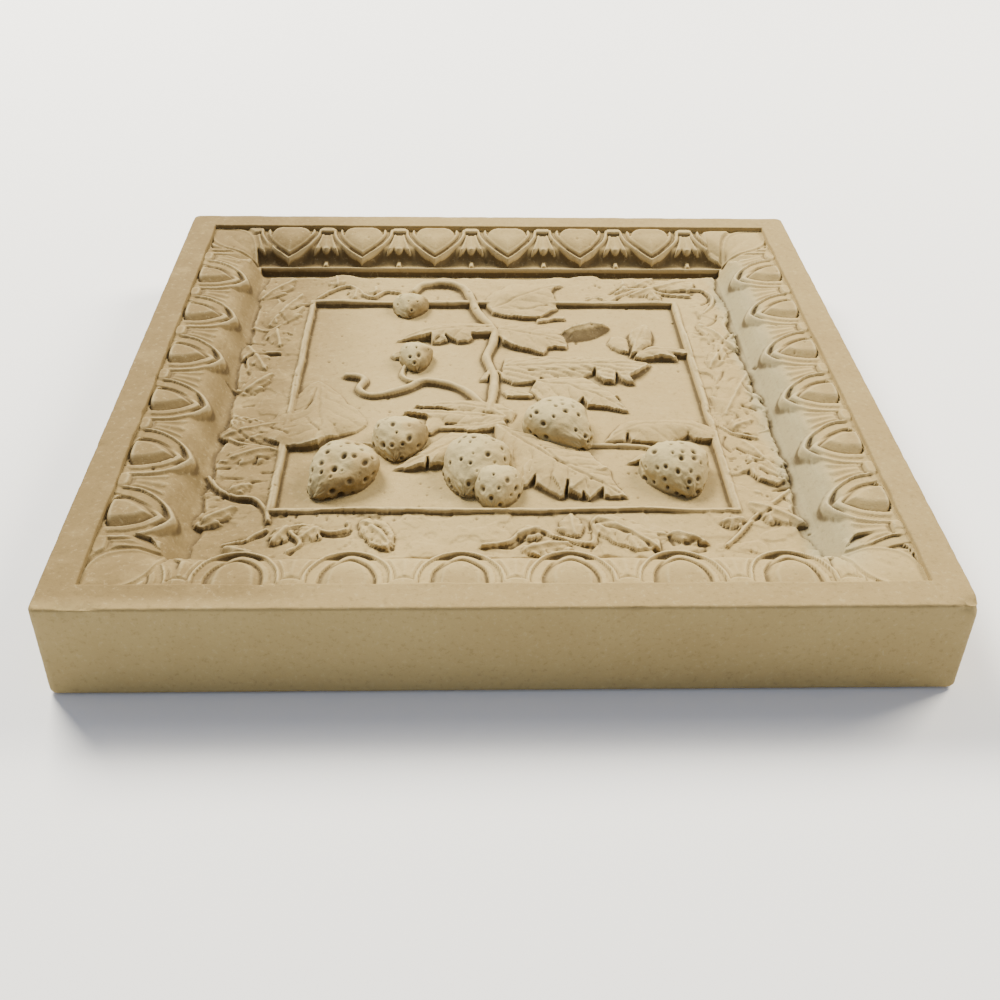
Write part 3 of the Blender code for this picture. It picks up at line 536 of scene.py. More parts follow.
# outline points and crest points are (x, y, height above the sunk panel)
blades = [
    # far west, over the bead
    dict(outline=[(-77, 13, 0.5), (-71, 7, 0.6), (-66, 1, 0.8), (-63, -6, 0.9), (-58.5, -11, 1),
                  (-55, -17, 0.6), (-54, -22, 0.5), (-58, -28, 0.8), (-64, -31, 1), (-69, -34.5, 3),
                  (-72, -38.5, 4.2), (-78, -40.5, 3), (-85, -40, 2.4), (-90, -39, 2.2), (-96, -34, 1),
                  (-94, -24, 0.7), (-89, -12, 0.8), (-85, 0, 0.8), (-81, 9, 0.6)],
         crest=[(-77, 11, 1.2), (-75, -2, 2.6), (-74, -14, 3.2), (-72, -27, 4.2), (-74, -37, 4.4)],
         seed=3),
    # up the main stem
    dict(outline=[(35.5, 100.5, 1.6), (30.5, 96.5, 2.6), (28.8, 92.5, 1.6), (30.5, 87, 0.9),
                  (31.3, 79, 1.4), (27, 74.5, 1.9), (22, 69.5, 2), (12, 69, 2.2), (4, 71, 1.8),
                  (-1, 74, 1.5), (-4, 82, 1), (-3, 89, 0.5), (0, 93.5, 0.5), (5, 98.5, 0.5),
                  (9, 102.5, 0.5), (14, 103.5, 0.5), (21, 103, 0.4), (29, 102.3, 0.5)],
         crest=[(-2, 76, 2.8), (8, 82, 3.2), (18, 89, 3.4), (27, 95.5, 3), (34, 99.5, 1.8)], gap=9,
         seed=5),
    dict(outline=[(34.5, 70, 1.6), (33.5, 67.8, 2.4), (30, 67.8, 2), (25.5, 66.5, 1.4), (20, 65, 0.6),
                  (20, 69, 0.5), (27, 70, 0.6), (32, 71.5, 0.8)],
         crest=[(20, 67, 1.4), (33.5, 69.5, 2.2)], seed=7),
    dict(outline=[(-46, 46, 0.6), (-40, 47.3, 2), (-34, 48, 3.6), (-29.3, 48.8, 4.4), (-29, 44.4, 1.0),
                  (-25, 44.8, 1.3), (-21.5, 46.8, 1.8), (-22.3, 50, 3), (-19, 47, 2),
                  (-16.5, 45.2, 1.6), (-12, 46.3, 1.6), (-9.6, 49, 1.8), (-10.2, 51.8, 3), (-2, 52, 3),
                  (2, 55, 2), (1, 61, 0.5), (-8, 64.5, 0.4), (-20, 64.5, 0.4), (-30, 61.5, 0.4),
                  (-38, 55.5, 0.5), (-43, 50.5, 0.5)],
         crest=[(-1, 57, 3.4), (-12, 56.5, 3.6), (-24, 54, 4.1), (-34, 50.8, 4), (-44, 47.2, 1.5)],
         seed=9),
    dict(outline=[(1, 50, 2.2), (4, 44.5, 3.4), (8, 41, 3), (14, 38.3, 2), (21.5, 35, 1.8),
                  (23, 37.5, 1.6), (23.5, 40, 1.3), (27, 40.8, 2), (33, 40.8, 1.7), (33.5, 44, 1.2),
                  (32, 50, 1.2), (33, 56, 0.8), (29, 60, 0.6), (20, 64, 0.6), (10, 65, 0.6),
                  (2, 61, 1)],
         crest=[(0, 56, 3.4), (12, 52, 3.6), (24, 49, 3), (32, 46, 1.7)], seed=11),
    dict(outline=[(31, 47, 0.3), (38, 47.5, 0.3), (45, 50, 0.3), (50, 54, 0.3), (54, 58.5, 0.3),
                  (54.8, 61, 0.5), (50, 62, 0.6), (42, 61, 0.6), (36, 58, 0.8), (31, 54, 0.8)],
         crest=[(30, 51.5, 3.4), (36, 54.5, 5.4), (44, 57.5, 5.8), (50, 59, 4.8), (54, 60.3, 1.8)],
         # the curled leaf's steep dark face gets painted shade
         run=0.5, bulge=0.8, vein=0, paintedShadeStrength=1.2, seed=13),
    # along the middle, east of the stem
    dict(outline=[(2, 17, 2), (7, 8.8, 1.8), (13, 9.3, 1.9), (18.5, 10.6, 1.9), (19.5, 13.5, 1.5),
                  (22, 11, 1.4), (26, 9, 1.4), (27, 13, 1.1), (36, 14, 0.9), (42, 17.5, 1.4),
                  (43.2, 20, 2.6), (44, 14.5, 2.8), (46.5, 10.5, 2.8), (51, 9.8, 2.5),
                  (52.7, 16.5, 2.6), (54.2, 11.5, 2.8), (57, 9.6, 2.3), (60, 9.6, 2), (58.8, 14.3, 3.2),
                  (62, 17, 3.6), (67, 23, 3.2), (69.5, 26, 1.4), (62, 29, 0.6), (52, 31.5, 0.6),
                  (36, 33.5, 0.6), (18, 34.5, 0.6), (4, 32, 0.8)],
         crest=[(0, 22, 3), (20, 23, 3.4), (40, 23.5, 3.8), (56, 24, 3.8), (68, 25.5, 1.8)], gap=9,
         lean=2.4, vein=0.4, seed=15),
    dict(outline=[(51, 46, 0.8), (53, 41, 1.4), (57, 37, 1.1), (60.5, 36, 0.8), (62, 40, 1),
                  (61, 48, 1.6), (57, 52, 1.2), (53, 51, 1)],
         crest=[(60, 35, 2), (57.5, 43, 2.4), (54, 49, 1.8)], vein=0, seed=17),
    dict(outline=[(60, 33, 1), (61.5, 40, 1.8), (61, 48, 2.2), (62, 54, 2), (66, 58, 2), (70, 60.5, 2),
                  (73.5, 58.5, 1.8), (73.4, 50, 1), (71.5, 42, 0.8), (67, 34, 1)],
         crest=[(61, 32, 3), (65, 42, 4.2), (68, 50, 4.8), (70, 57, 4)], run=1.2, seed=19),
    dict(outline=[(62, 31, 1.4), (66, 29.5, 1.6), (70, 29.5, 2.6), (74, 31, 3.6), (80, 30.2, 2.6),
                  (82, 31, 2.2), (80.5, 33.5, 1.8), (84, 32.8, 2.6), (88, 32.3, 2.8), (89, 35, 3.6),
                  (86, 38, 1.6), (80, 40, 0.8), (72, 42, 0.8), (66, 38, 1)],
         crest=[(62, 33, 3), (70, 35, 4), (78, 36, 3.5), (88, 35.2, 2.8)], seed=21),
    dict(outline=[(2, 3, 0.8), (4, -1, 1.8), (9, -1.8, 2), (14, -2, 1.6), (16, 0, 1), (12, 4, 0.6),
                  (6, 7, 0.6)],
         crest=[(3, 5, 1.8), (13, 0, 2.2)], seed=23),
    dict(outline=[(17, 12, 1.2), (28, 16, 1.2), (38, 16, 1.2), (44, 10, 0.8), (49, 3, 0.9),
                  (53, -1.8, 2.2), (50.5, -2.6, 2.4), (52, -6, 1.4), (55.5, -12.6, 1.6), (52, -12.8, 2),
                  (47, -11, 2), (43, -9.6, 2.2), (40, -9, 2), (37.6, -9, 2.8), (36.5, -3.5, 2.8),
                  (34, -7, 2), (27, -8, 2), (18, -4, 1.6), (14, 4, 1)],
         crest=[(18, 10, 2.4), (30, 6, 3.2), (42, -1, 3.2), (53, -10.5, 1.9)], gap=8, vein=0.4, seed=25),
    # west of the stem's foot
    dict(outline=[(-36, -8.5, 1.2), (-30, -9.5, 1.8), (-25, -10, 1.8), (-20, -12, 1.2), (-14, -14.5, 1),
                  (-10, -16, 1.4), (-5, -14, 1.4), (0, -16, 1), (6, -20, 0.6), (8, -14, 0.6),
                  (2, -6, 0.5), (-8, -3.5, 0.4), (-18, -3, 0.4), (-28, -5, 0.4)],
         crest=[(4, -14, 2.4), (-8, -11, 2.8), (-20, -8, 2.6), (-32, -8, 1.8)], seed=27),
    dict(outline=[(-40, -14.5, 1.8), (-35, -15.5, 2.8), (-31, -16.5, 3), (-29, -18.5, 2.6),
                  (-24, -20.5, 1.4), (-23, -22, 1), (-19, -23.5, 1.6), (-12, -24, 1.8),
                  (-5, -23.5, 1.6), (2, -24, 1), (4, -16, 1), (-8, -14, 1.2), (-20, -12, 1),
                  (-30, -11.5, 1), (-36, -11.5, 1)],
         crest=[(2, -18, 2.9), (-12, -18, 3), (-24, -16, 2.9), (-37, -13.5, 2.3)], seed=29),
    dict(outline=[(-19, -27, 1.3), (-10, -28.5, 1.8), (-2, -26.5, 1.6), (4, -24, 1), (2, -19, 1),
                  (-10, -22, 1), (-20, -23.5, 0.8), (-26, -24, 0.8), (-28, -27, 0.8)],
         crest=[(2, -22, 2.5), (-8, -25, 2.8), (-20, -25, 1.9)], seed=31),
    dict(outline=[(-43, -54.5, 0.4), (-36, -54.6, 2), (-29.2, -53.8, 4), (-28.7, -50, 4.2),
                  (-28, -53.8, 2.6), (-23, -53, 2.2), (-18, -50, 1.4), (-14, -40, 1), (-12, -30, 1),
                  (-20, -28, 0.8), (-28, -36, 0.6), (-34, -44, 0.6), (-39, -50.5, 0.5)],
         crest=[(-12, -32, 3), (-22, -42, 3.9), (-30, -49.5, 4.3), (-41, -53.5, 1.4)], seed=33),
    # the large leaf in front
    dict(outline=[(-2, -24, 1.2), (8, -27, 0.9), (20, -35, 0.9), (30, -39, 0.9), (36, -43, 1.1),
                  (37.5, -47, 1.6), (38.3, -51, 2.6), (40.5, -54, 2.8), (43, -54.5, 1.4),
                  (43, -60, 0.9), (45, -66, 1), (48.5, -73, 1.1), (44, -73.8, 1.8), (38.5, -73.4, 2.2),
                  (38, -69.5, 3), (35.4, -73, 2.4), (33, -75, 2), (31, -72, 3), (30.3, -74, 2.2),
                  (27, -72.5, 3.2), (25.3, -71.5, 4.4), (25.4, -65.5, 4.8), (24, -73, 1.8),
                  (22, -74, 1.6), (16, -69, 2.2), (12.8, -65.5, 2.8), (13, -61.5, 3.2),
                  (10.3, -66, 1.7), (6.5, -67.5, 1.2), (3, -60, 1.2), (2, -45, 1.2), (-2, -32, 1.2)],
         crest=[(0, -26, 3.4), (10, -40, 4.8), (20, -52, 5.3), (32, -63, 4.9), (45, -71, 2.2)], gap=9,
         lean=0.8, vein=0.45, seed=35),
    # east
    dict(outline=[(42, -35, 0.5), (45, -29, 0.6), (50, -22, 0.6), (56, -19.5, 0.5), (70, -19.5, 0.4),
                  (81, -19.5, 0.5), (86, -24, 0.8), (90, -31, 1.2), (88.5, -36, 2.4), (83, -36, 2.4),
                  (79, -34.5, 2), (77, -32, 1.5), (74, -34, 1.2), (66, -38, 1.2), (58, -36.5, 1.8),
                  (53.5, -35.5, 1.8), (52.3, -31, 1.5), (50.8, -35.5, 1.4)],
         crest=[(46, -32, 2.1), (56, -26.5, 4), (68, -25.5, 4.4), (80, -27.5, 3.8), (87, -32, 2.9)],
         vein=0.2, seed=37),
    dict(outline=[(48.5, -50.5, 0.4), (53, -50.3, 1.6), (57, -50, 2.8), (60, -46, 2), (56, -45, 1),
                  (52, -48, 0.6)],
         crest=[(49.5, -50, 0.9), (58, -47.5, 3.2)], vein=0, seed=39),
    # small sepals and bracts
    dict(outline=[(-47, 33, 1), (-44, 30.5, 1.6), (-40, 31, 1.6), (-34, 33, 1), (-31, 38, 1),
                  (-38, 40, 1), (-45, 37, 0.8)],
         crest=[(-34, 36, 3.4), (-45, 34, 2)], vein=0.2, seed=41),
    dict(outline=[(-32, -29, 1.4), (-27, -30, 1.2), (-22, -24, 1), (-22, -14, 0.6), (-29, -16, 1)],
         crest=[(-29, -27, 2.6), (-25, -17, 2.4)], vein=0.1, seed=43),
    dict(outline=[(-8.5, 12, 0.8), (-4, 12, 2), (-2.5, 16, 2.4), (-2.5, 21, 1)],
         crest=[(-3, 20, 3), (-7.5, 12.6, 1.2)], vein=0, seed=45),
    dict(outline=[(2, 13, 2), (6.5, 10.5, 1.4), (6.5, 14, 0.8), (2, 19, 1), (-1, 20, 1)],
         crest=[(0, 18, 3), (6, 11.5, 1.5)], vein=0, seed=47),
]

# low leaves in the outer bands
lowBlades = [
    dict(outline=[(76, 100, 0.8), (86, 95, 0.8), (98, 95, 0.8), (101, 102, 1.4), (94, 106, 0.6),
                  (84, 105, 0.6)],
         crest=[(78, 100, 1.2), (98, 100, 1.8)], vein=0.2, seed=49),
    dict(outline=[(-110, -18, 0.8), (-99, -20, 0.8), (-91, -26, 0.8), (-92, -33, 1.4), (-101, -31, 1.5),
                  (-109, -26, 1.2)],
         crest=[(-108, -22, 1.8), (-94, -28, 2)], vein=0.5, gap=4, seed=51),
    dict(outline=[(97, -49, 0.8), (105, -47, 0.8), (112, -52, 1), (112, -63, 1), (106, -68, 1.4),
                  (99, -64, 1.5), (96, -56, 1)],
         crest=[(99, -51, 1.6), (109, -63, 2)], vein=0.4, gap=5, seed=53),
    dict(outline=[(36, -88, 0.6), (48, -89, 0.6), (56, -96, 0.8), (56, -105, 1.2), (47, -107, 1.4),
                  (39, -102, 1.2), (34, -95, 0.8)],
         crest=[(38, -91, 1.6), (54, -103, 2)], vein=0.4, gap=5, seed=55),
    dict(outline=[(-52, -88, 0.6), (-43, -88, 0.6), (-39, -97, 1), (-41, -106, 1.4), (-48, -103, 1.5),
                  (-52, -96, 1.2)],
         crest=[(-48, -89, 1.6), (-42, -103, 2)], vein=0.4, gap=5, seed=57),
    dict(outline=[(6, -103, 0.6), (15, -101, 0.6), (24, -104, 0.8), (22, -110, 1.4), (14, -111, 1.5),
                  (8, -108, 1.2)],
         crest=[(8, -105, 1.4), (22, -107, 1.8)], vein=0.5, gap=3.5, seed=59),
]

# thin grooves in the blades
scores = [
    dict(points=[(-77, 5), (-78, -6), (-80, -13)], deep=0.9),
    dict(points=[(-79, -20), (-76, -26), (-72, -31)], deep=0.6),
    dict(points=[(-11, -19.5), (-8, -19), (-5, -17.5)]),
    dict(points=[(-5, -16), (-2, -16.5), (2, -18)]),
    dict(points=[(16, -43), (19, -48), (22, -54)]),
    dict(points=[(22, -55), (28, -57), (35, -59)]),
    dict(points=[(18, -45), (24, -45.5), (31, -46.5)]),
    dict(points=[(24, 47), (29, 45), (33, 44.5)]),
    dict(points=[(-29, 54), (-20, 57), (-10, 57)], deep=0.4),
    dict(points=[(6, 60), (12, 61), (20, 59)], deep=0.5),
    dict(points=[(10, 28), (26, 29), (44, 28)], deep=0.5),
    dict(points=[(14, 18), (30, 18.5), (48, 19)], deep=0.5),
    dict(points=[(56, -24), (66, -21.5), (78, -22)], deep=0.4),
    dict(points=[(8, 78), (16, 76), (26, 80)], deep=0.5),
]

# dark cuts and dents in the outer bands
marks = [
    [(-103, 88), (-100, 86)], [(-100, 70), (-98, 67), (-96, 64)], [(-95, 75), (-90, 80), (-86, 82)],
    [(-112, 46), (-104, 43)], [(-96, 34.5), (-106, 33), (-110, 28), (-107, 17)],
    [(-115, 8), (-110, 2.5), (-103, 1.5)], [(-106, -8), (-102, -6.5)], [(-109, -18), (-106, -20)],
    [(-104, -19), (-101, -22)], [(-99, -20), (-97, -22)],
    [(-108, -26), (-100, -34), (-92, -37.5), (-90, -39)], [(-92, -26), (-85, -31)],
    [(-105, -48), (-110, -48.5)], [(-105, -53), (-110, -53.5)], [(-91, -46), (-95, -47)],
    [(-88, -55), (-92, -55)], [(-99, -60), (-105, -60)], [(-90, -61), (-95, -62)],
    [(-113, -60), (-108, -68.5), (-100, -74), (-93, -75), (-88, -82), (-87, -89)],
    [(-110, -87), (-109.5, -89)], [(-100, -99), (-88, -94.5), (-86, -92)],
    [(103, 43), (107, 50), (111, 58)], [(101, 38), (100, 29)], [(114, 23), (114.5, 21)],
    [(103, -9), (108, -11)], [(88, -13), (92, -24), (98, -29), (102, -30)],
    [(95, -40), (99, -45), (102, -48)], [(97, -51), (104, -50), (112, -55)], [(104, -68), (110, -66)],
    [(101, -56), (105, -60), (110, -62)], [(88, -89), (93, -86), (100, -82)],
    [(88, -109), (93, -107), (97, -108)], [(92, -31), (90, -37), (92, -42)],
    [(106, 8), (109, 0), (107, -5)], [(101, 84), (105, 89), (104, 96)], [(98, 60), (104, 66), (106, 72)],
    [(94, 8), (98, 14), (100, 20)], [(-84, 91), (-80, 96), (-76, 101), (-70, 103)],
    [(-57, 92), (-52, 98), (-45, 97)], [(46, 90), (52, 92)], [(57, 95), (66, 102), (72, 102)],
    [(60, 89), (66, 95), (76, 99)], [(76, 99), (88, 94), (98, 95)],
    [(-72, -89.5), (-76, -90), (-78, -94), (-74, -99), (-76, -105)],
    [(-66, -94), (-61, -95), (-56, -93), (-57, -89)], [(-50, -90), (-44, -92), (-40, -102)],
    [(-2, -101), (3, -101), (8, -96), (14, -94), (19, -95), (30, -101)],
    [(40, -89), (35, -88), (32, -90), (33, -97), (31, -103)], [(36, -90), (46, -96), (55, -105)],
    [(59, -94), (61, -100)], [(65, -100), (72, -99)], [(64, -106), (72, -103)],
]

# toothed leaves in the outer bands
lowLeaves = [
    dict(base=(-104, 58), tip=(-91, 90), left=9, right=9),
    dict(base=(-111, 84), tip=(-96, 106), left=7, right=7),
    dict(base=(-100, 56), tip=(-96, 38), left=8, right=7),
    dict(base=(-111, 40), tip=(-100, 18), left=7, right=7),
    dict(base=(-108, -2), tip=(-96, 16), left=6, right=5),
    dict(base=(-112, -34), tip=(-88, -24), left=8, right=7, crown=2.2),
    dict(base=(-90, -42), tip=(-110, -52), left=7, right=7),
    dict(base=(-112, -92), tip=(-98, -80), left=6, right=5),
    dict(base=(94, -18), tip=(110, 16), left=10, right=8),
    dict(base=(96, 62), tip=(110, 36), left=7, right=6),
    dict(base=(94, 20), tip=(104, 40), left=5, right=5),
    dict(base=(98, -36), tip=(110, -66), left=9, right=6, crown=1.8),
    dict(base=(92, -78), tip=(112, -92), left=6, right=6),
    dict(base=(66, 90), tip=(98, 106), left=5, right=5),
    dict(base=(34, -86), tip=(56, -106), left=7, right=6),
    dict(base=(-52, -88), tip=(-40, -104), left=6, right=5),
    dict(base=(6, -106), tip=(24, -102), left=4, right=5),
    dict(base=(60, -96), tip=(74, -102), left=3, right=4),
    dict(base=(-100, -104), tip=(-84, -112), left=4, right=4),
]

print("Carving the panel")
addBead()
height = np.maximum(height, np.where(lifted > 0, tile["floorZ"] + lifted + floorWave, 0))
inBands = np.clip(lifted / plateau["high"], 0, 1)
# leafy folds in the outer bands = steps up where a roughness passes a level
leafy = plateau["fold"] * inBands * np.interp(gridY, [-86, 70, 86], [1, 1, 0.3])
leafy = leafy * np.interp(gridX, [-95, 95], [0.6, 1])
height += leafy * easeStep(-0.05, 0.14, roughness(gridX, gridY, 13, 303, 3))
height += 0.7 * leafy * easeStep(0.1, 0.28, roughness(gridX, gridY, 8, 305, 2))
for low in lowLeaves:
    seed = int(low["left"] * 31 + abs(low["base"][1]))
    addLeaf(edge=(0.5, 0.7), tooth=0.35, run=(1.5, 1.2), vein=0.35, seed=seed, **{"crown": 2.0, **low})
for blade in lowBlades:
    addBlade(lift=0.5, **blade)
for blade in blades:
    addBlade(**blade)
for stem in stems:
    addStem(**stem)
for score in scores:
    addScore(**score)

dice = np.random.RandomState(64)
for vine in vines:
    addLeaflets(vine["points"], dice)
for vine in vines:
    addStem([(px, py - 2.2) for px, py in vine["points"]], 0.7 * vine["wide"], high=vine["high"], lift=0.4)
for mark in marks:
    addScore([(px, py - 2) for px, py in mark], 0.9, 0.7)
crumbly = easeStep(0.1, 0.8, roughness(gridX, gridY, 26, 86, 2)) * inBands
height += 0.22 * roughness(gridX, gridY, 7, 81) * inBands
height -= 0.7 * easeStep(0.45, 0.85, latticeNoise(gridX, gridY, 1.9, 87)) * crumbly

bubbles = {"count": 260, "reach": 138, "small": 0.35, "large": 0.8, "deep": 0.7}
print("Pitting the face")
dice = np.random.RandomState(90)
bubbleX = dice.uniform(-bubbles["reach"], bubbles["reach"], bubbles["count"])
bubbleY = dice.uniform(-bubbles["reach"], bubbles["reach"], bubbles["count"])
bubbleWide = dice.uniform(bubbles["small"], bubbles["large"], bubbles["count"])
for px, py, pr in zip(bubbleX, bubbleY, bubbleWide):
    at = patch(px - 2, px + 2, py - 2, py + 2)
    off = ((gridX[at] - px) ** 2 + (gridY[at] - py) ** 2) / pr ** 2
    height[at] -= bubbles["deep"] * pr * np.exp(-off ** 2)
height += 0.035 * roughness(gridX, gridY, 1.9, 95, 2)
height = np.minimum(height, tile["thick"] - 0.3)


# the field averaged again and again with its neighbours
def softened(field, times):
    out = field.copy()
    for _ in range(times):
        out[1:-1] = (out[:-2] + 2 * out[1:-1] + out[2:]) / 4
        out[:, 1:-1] = (out[:, :-2] + 2 * out[:, 1:-1] + out[:, 2:]) / 4
    return out


# this field is above 0 in hollows, for grime and painted shade, at steep walls and under the curled leaf,
# for painted shade, and below 0 on worn ridges
near = softened(height, 3)
# darker in small and broad hollows: grime with painted shade
grimeShadeWear = 0.7 * (softened(near, 11) - height) + 1.5 * (near - height)
grimeShadeWear += 0.35 * np.clip(softened(near, 40) - height, 0, 1.6)
slopeY, slopeX = np.gradient(height, yLines, xLines)
# painted shade on steep walls, strongest where they face north or south, plus the painted shade under the
# curled leaf
grimeShadeWear += 0.9 * easeStep(0.7, 2.2, np.hypot(0.4 * slopeX, slopeY)) + paintedLeafShade
faceNormals = np.stack([-slopeX, -slopeY, np.ones_like(height)], axis=-1)
faceNormals /= np.linalg.norm(faceNormals, axis=-1, keepdims=True)


# closed block under one part of the grid: the carved top, four walls down to the tray and a flat underside
def faceBlock(name, rows, columns):
    top = np.stack([gridX[rows, columns], gridY[rows, columns], height[rows, columns]], axis=-1)
    nr, nc = top.shape[:2]
    quads = gridQuads(nr, nc)
    numbers = np.arange(nr * nc).reshape(nr, nc)
    edges = [numbers[0, :-1], numbers[:-1, -1], numbers[-1, :0:-1], numbers[:0:-1, 0]]
    rim = np.concatenate(edges)
    points = top.reshape(-1, 3)
    foot = points[rim].copy()
    foot[:, 2] = tile["trayZ"] + 0.2
    start = len(points)
    below = start + np.arange(len(rim))
    walls = np.stack([rim, below, np.roll(below, -1), np.roll(rim, -1)], axis=-1)
    normals = np.vstack([faceNormals[rows, columns].reshape(-1, 3), np.tile([0, 0, -1.0], (len(rim), 1))])
    points = np.vstack([points, foot])
    piece = putMesh(name, points, np.vstack([quads, walls]), [below[::-1]], normals=normals)
    putValues(piece, "grimeShadeWear", np.concatenate([grimeShadeWear[rows, columns].ravel(), np.zeros(len(rim))]))
    return piece


midX, midY = int(np.searchsorted(xLines, 0)), int(np.searchsorted(yLines, -12))
spans = {"west": slice(0, midX + 1), "east": slice(midX, None)}
rowSpans = {"lower": slice(0, midY + 1), "upper": slice(midY, None)}
pieces = [faceBlock(f"face_{r}_{c}", rowSpans[r], spans[c]) for r in rowSpans for c in spans]
print("Face pieces", [len(p.data.polygons) * 2 for p in pieces])

berryStyle = {"rows": 118, "columns": 150, "from": -28, "to": 208, "lumps": 0.55, "seedGap": 5.3,
              "seedSize": 0.8, "seedDeep": 1.2, "missing": 0.22}
berries = {
    "south_west": dict(at=(-61, -59), heading=243, long=34, wide=26, high=12.5, bow=-2.5, square=0.10),
    "south": dict(at=(-10.5, -55), heading=252, long=35, wide=26, high=12.5, bow=2, square=0.06),
    "front": dict(at=(-2, -69), heading=262, long=23, wide=19, high=10.5, bow=0, square=0.05),
    "middle": dict(at=(24, -27), heading=297, long=35, wide=27, high=12.5, bow=3, square=0.10),
    "south_east": dict(at=(68, -58), heading=282, long=31, wide=28, high=12.5, bow=1, square=0.06),
    "west": dict(at=(-40.5, -36), heading=260, long=26, wide=23, high=10, bow=1.5, square=0.09),
    "small": dict(at=(-35.5, 30), heading=275, long=20, wide=16, high=8, bow=0, square=0.08),
    "north_west": dict(at=(-39.5, 78.5), heading=268, long=18, wide=18, high=7.5, bow=0, square=0.05),
}


# strawberry = blunt ball drawn out to a tip: rings from tip to stalk end and columns round them, the axis
# bowed to one side, the rings squared by a cosine of four times the angle, and dents at staggered seeds
def makeBerry(name, b, seed):
    style = berryStyle
    size = b["long"] / 34
    rows, columns = int(style["rows"] * size ** 0.8), int(style["columns"] * size ** 0.8)
    endAngles = np.linspace(0, np.pi, rows + 2)[1:-1]
    roundAngles = np.radians(np.linspace(style["from"], style["to"], columns))
    a, c = np.meshgrid(endAngles, roundAngles, indexing="ij")

    # the smooth berry at an angle from the tip and an angle round the axis
    def surface(a, c):
        px, py, pz = np.cos(a), np.sin(a) * np.cos(c), np.sin(a) * np.sin(c)
        swell = (1 - 0.24 * px - 0.12 * px * px) * (1 - b["square"] * np.cos(4 * c + 0.5))
        return np.stack([b["long"] / 2 * px, b["wide"] / 2 * py * swell + b["bow"] * px * px,
                         (b["high"] - 1) * pz * (0.55 + 0.45 * swell)], axis=-1)

    p = surface(a, c)
    n = np.cross(surface(a + 0.01, c) - p, surface(a, c + 0.01) - p)
    n /= np.linalg.norm(n, axis=-1, keepdims=True) + 1e-12
    n *= np.sign((n * p).sum(-1, keepdims=True))
    lumps = style["lumps"] * roughness(a * b["long"] / 2, c * b["wide"] / 2, 7, seed, 3)
    dents, grimeAndShade = np.zeros(a.shape), np.zeros(a.shape)
    dice = np.random.RandomState(seed)
    rings = max(3, int(np.pi / 2 * b["long"] * 1.1 / style["seedGap"]))
    for i in range(1, rings):
        ringA = np.pi * i / rings
        girth = (b["wide"] / 2) * math.sin(ringA) * np.radians(style["to"] - style["from"])
        count = max(1, int(girth / style["seedGap"]))
        for j in range(count):
            turn = (j + 0.5 * (i % 2) + 0.25) / count
            seedC = np.radians(style["from"] + (style["to"] - style["from"]) * turn)
            seedC = seedC + dice.uniform(-0.12, 0.12)
            seedA = ringA + dice.uniform(-0.09, 0.09)
            wide = style["seedSize"] * dice.uniform(0.55, 1.4) * (0.7 + 0.3 * size)
            long = wide * dice.uniform(1.0, 1.6)
            deep = style["seedDeep"] * dice.uniform(0.5, 1.15) * wide / style["seedSize"]
            if dice.rand() < style["missing"]:
                continue
            gap = p - surface(np.float64(seedA), np.float64(seedC))
            away = np.sqrt((gap[..., 0] / long) ** 2 + (gap[..., 1] ** 2 + gap[..., 2] ** 2) / wide ** 2)
            dents += deep * np.exp(-away ** 2.6) - 0.14 * np.exp(-((away - 1.7) / 0.5) ** 2)
            # darker in each seed pit: grime with painted shade
            grimeAndShade += np.exp(-(away / 0.95) ** 3) * min(1.2, deep)
    p = p + n * (lumps - np.minimum(dents, 1.7))[..., None]
    turn = math.radians(b["heading"])
    ends = np.array([[b["long"] / 2, b["bow"], 0], [-b["long"] / 2, b["bow"], 0]])
    points = np.vstack([p.reshape(-1, 3), ends])
    x = points[:, 0] * math.cos(turn) - points[:, 1] * math.sin(turn) + b["at"][0]
    y = points[:, 0] * math.sin(turn) + points[:, 1] * math.cos(turn) + b["at"][1]
    points = np.stack([x, y, points[:, 2] + tile["floorZ"] + 1], axis=-1)
    nx = n[..., 0] * math.cos(turn) - n[..., 1] * math.sin(turn)
    ny = n[..., 0] * math.sin(turn) + n[..., 1] * math.cos(turn)
    quads = gridQuads(rows, columns, wrapped=True)[:, ::-1]
    first, last = rows * columns, rows * columns + 1
    k = np.arange(columns)
    caps = [(first, j, (j + 1) % columns) for j in k]
    caps += [(last, (rows - 1) * columns + (j + 1) % columns, (rows - 1) * columns + j) for j in k]
    piece = putMesh("berry_" + name, points, quads, caps)
    # painted shade at the berry's foot, where it meets the panel
    ground = 0.9 * (1 - easeStep(0.5, 3, points[:-2, 2] - tile["floorZ"]))
    putValues(piece, "grimeShadeWear", np.concatenate([1.9 * np.minimum(grimeAndShade.ravel(), 1) + ground, [0, 0]]))
    # painted light: flanks facing east are painted ochre as shade and the other sides the pale berry colour
    # as lit, the ochre stronger on the western berries
    cloud = 0.3 * latticeNoise(points[:-2, 0], points[:-2, 1], 6, 7).reshape(nx.shape)
    shadedFlank = (1 if b["at"][0] < -20 else 0.3) * easeStep(-0.1, 0.65, 0.85 * nx - 0.5 * ny + cloud)
    putValues(piece, "ochre", np.concatenate([(0.75 * shadedFlank - 0.6 * (1 - shadedFlank)).ravel(), [0, 0]]))
    return piece


print("Growing the strawberries")
for i, (name, b) in enumerate(berries.items()):
    pieces.append(makeBerry(name, b, 200 + 10 * i))

# Body: rim, sides and back
shell = {"perSide": 230, "perCorner": 7, "wobble": 0.03, "edgeWear": 0.12}
chips = [  # centre, radius and depth
    ((150.5, -151, 37.5), 3.2, 1.3), ((147, -152, 37), 1.8, 0.7), ((-141, -151.5, 38), 3, 0.8),
    ((-134, -151.8, 38), 2.4, 0.7), ((-150.5, -60, 38), 2.5, 0.5), ((40, -152, 38), 2.2, 0.35),
    ((-140.2, 20, 37.5), 2.0, 0.7), ((-140.2, -10, 37.5), 2.4, 0.8), ((-140.3, -36, 37.5), 2, 0.7),
    ((-152, 60, 1), 4, 0.8), ((90, 152, 0.5), 5, 0.8), ((150, 60, 0.5), 4, 0.7),
]


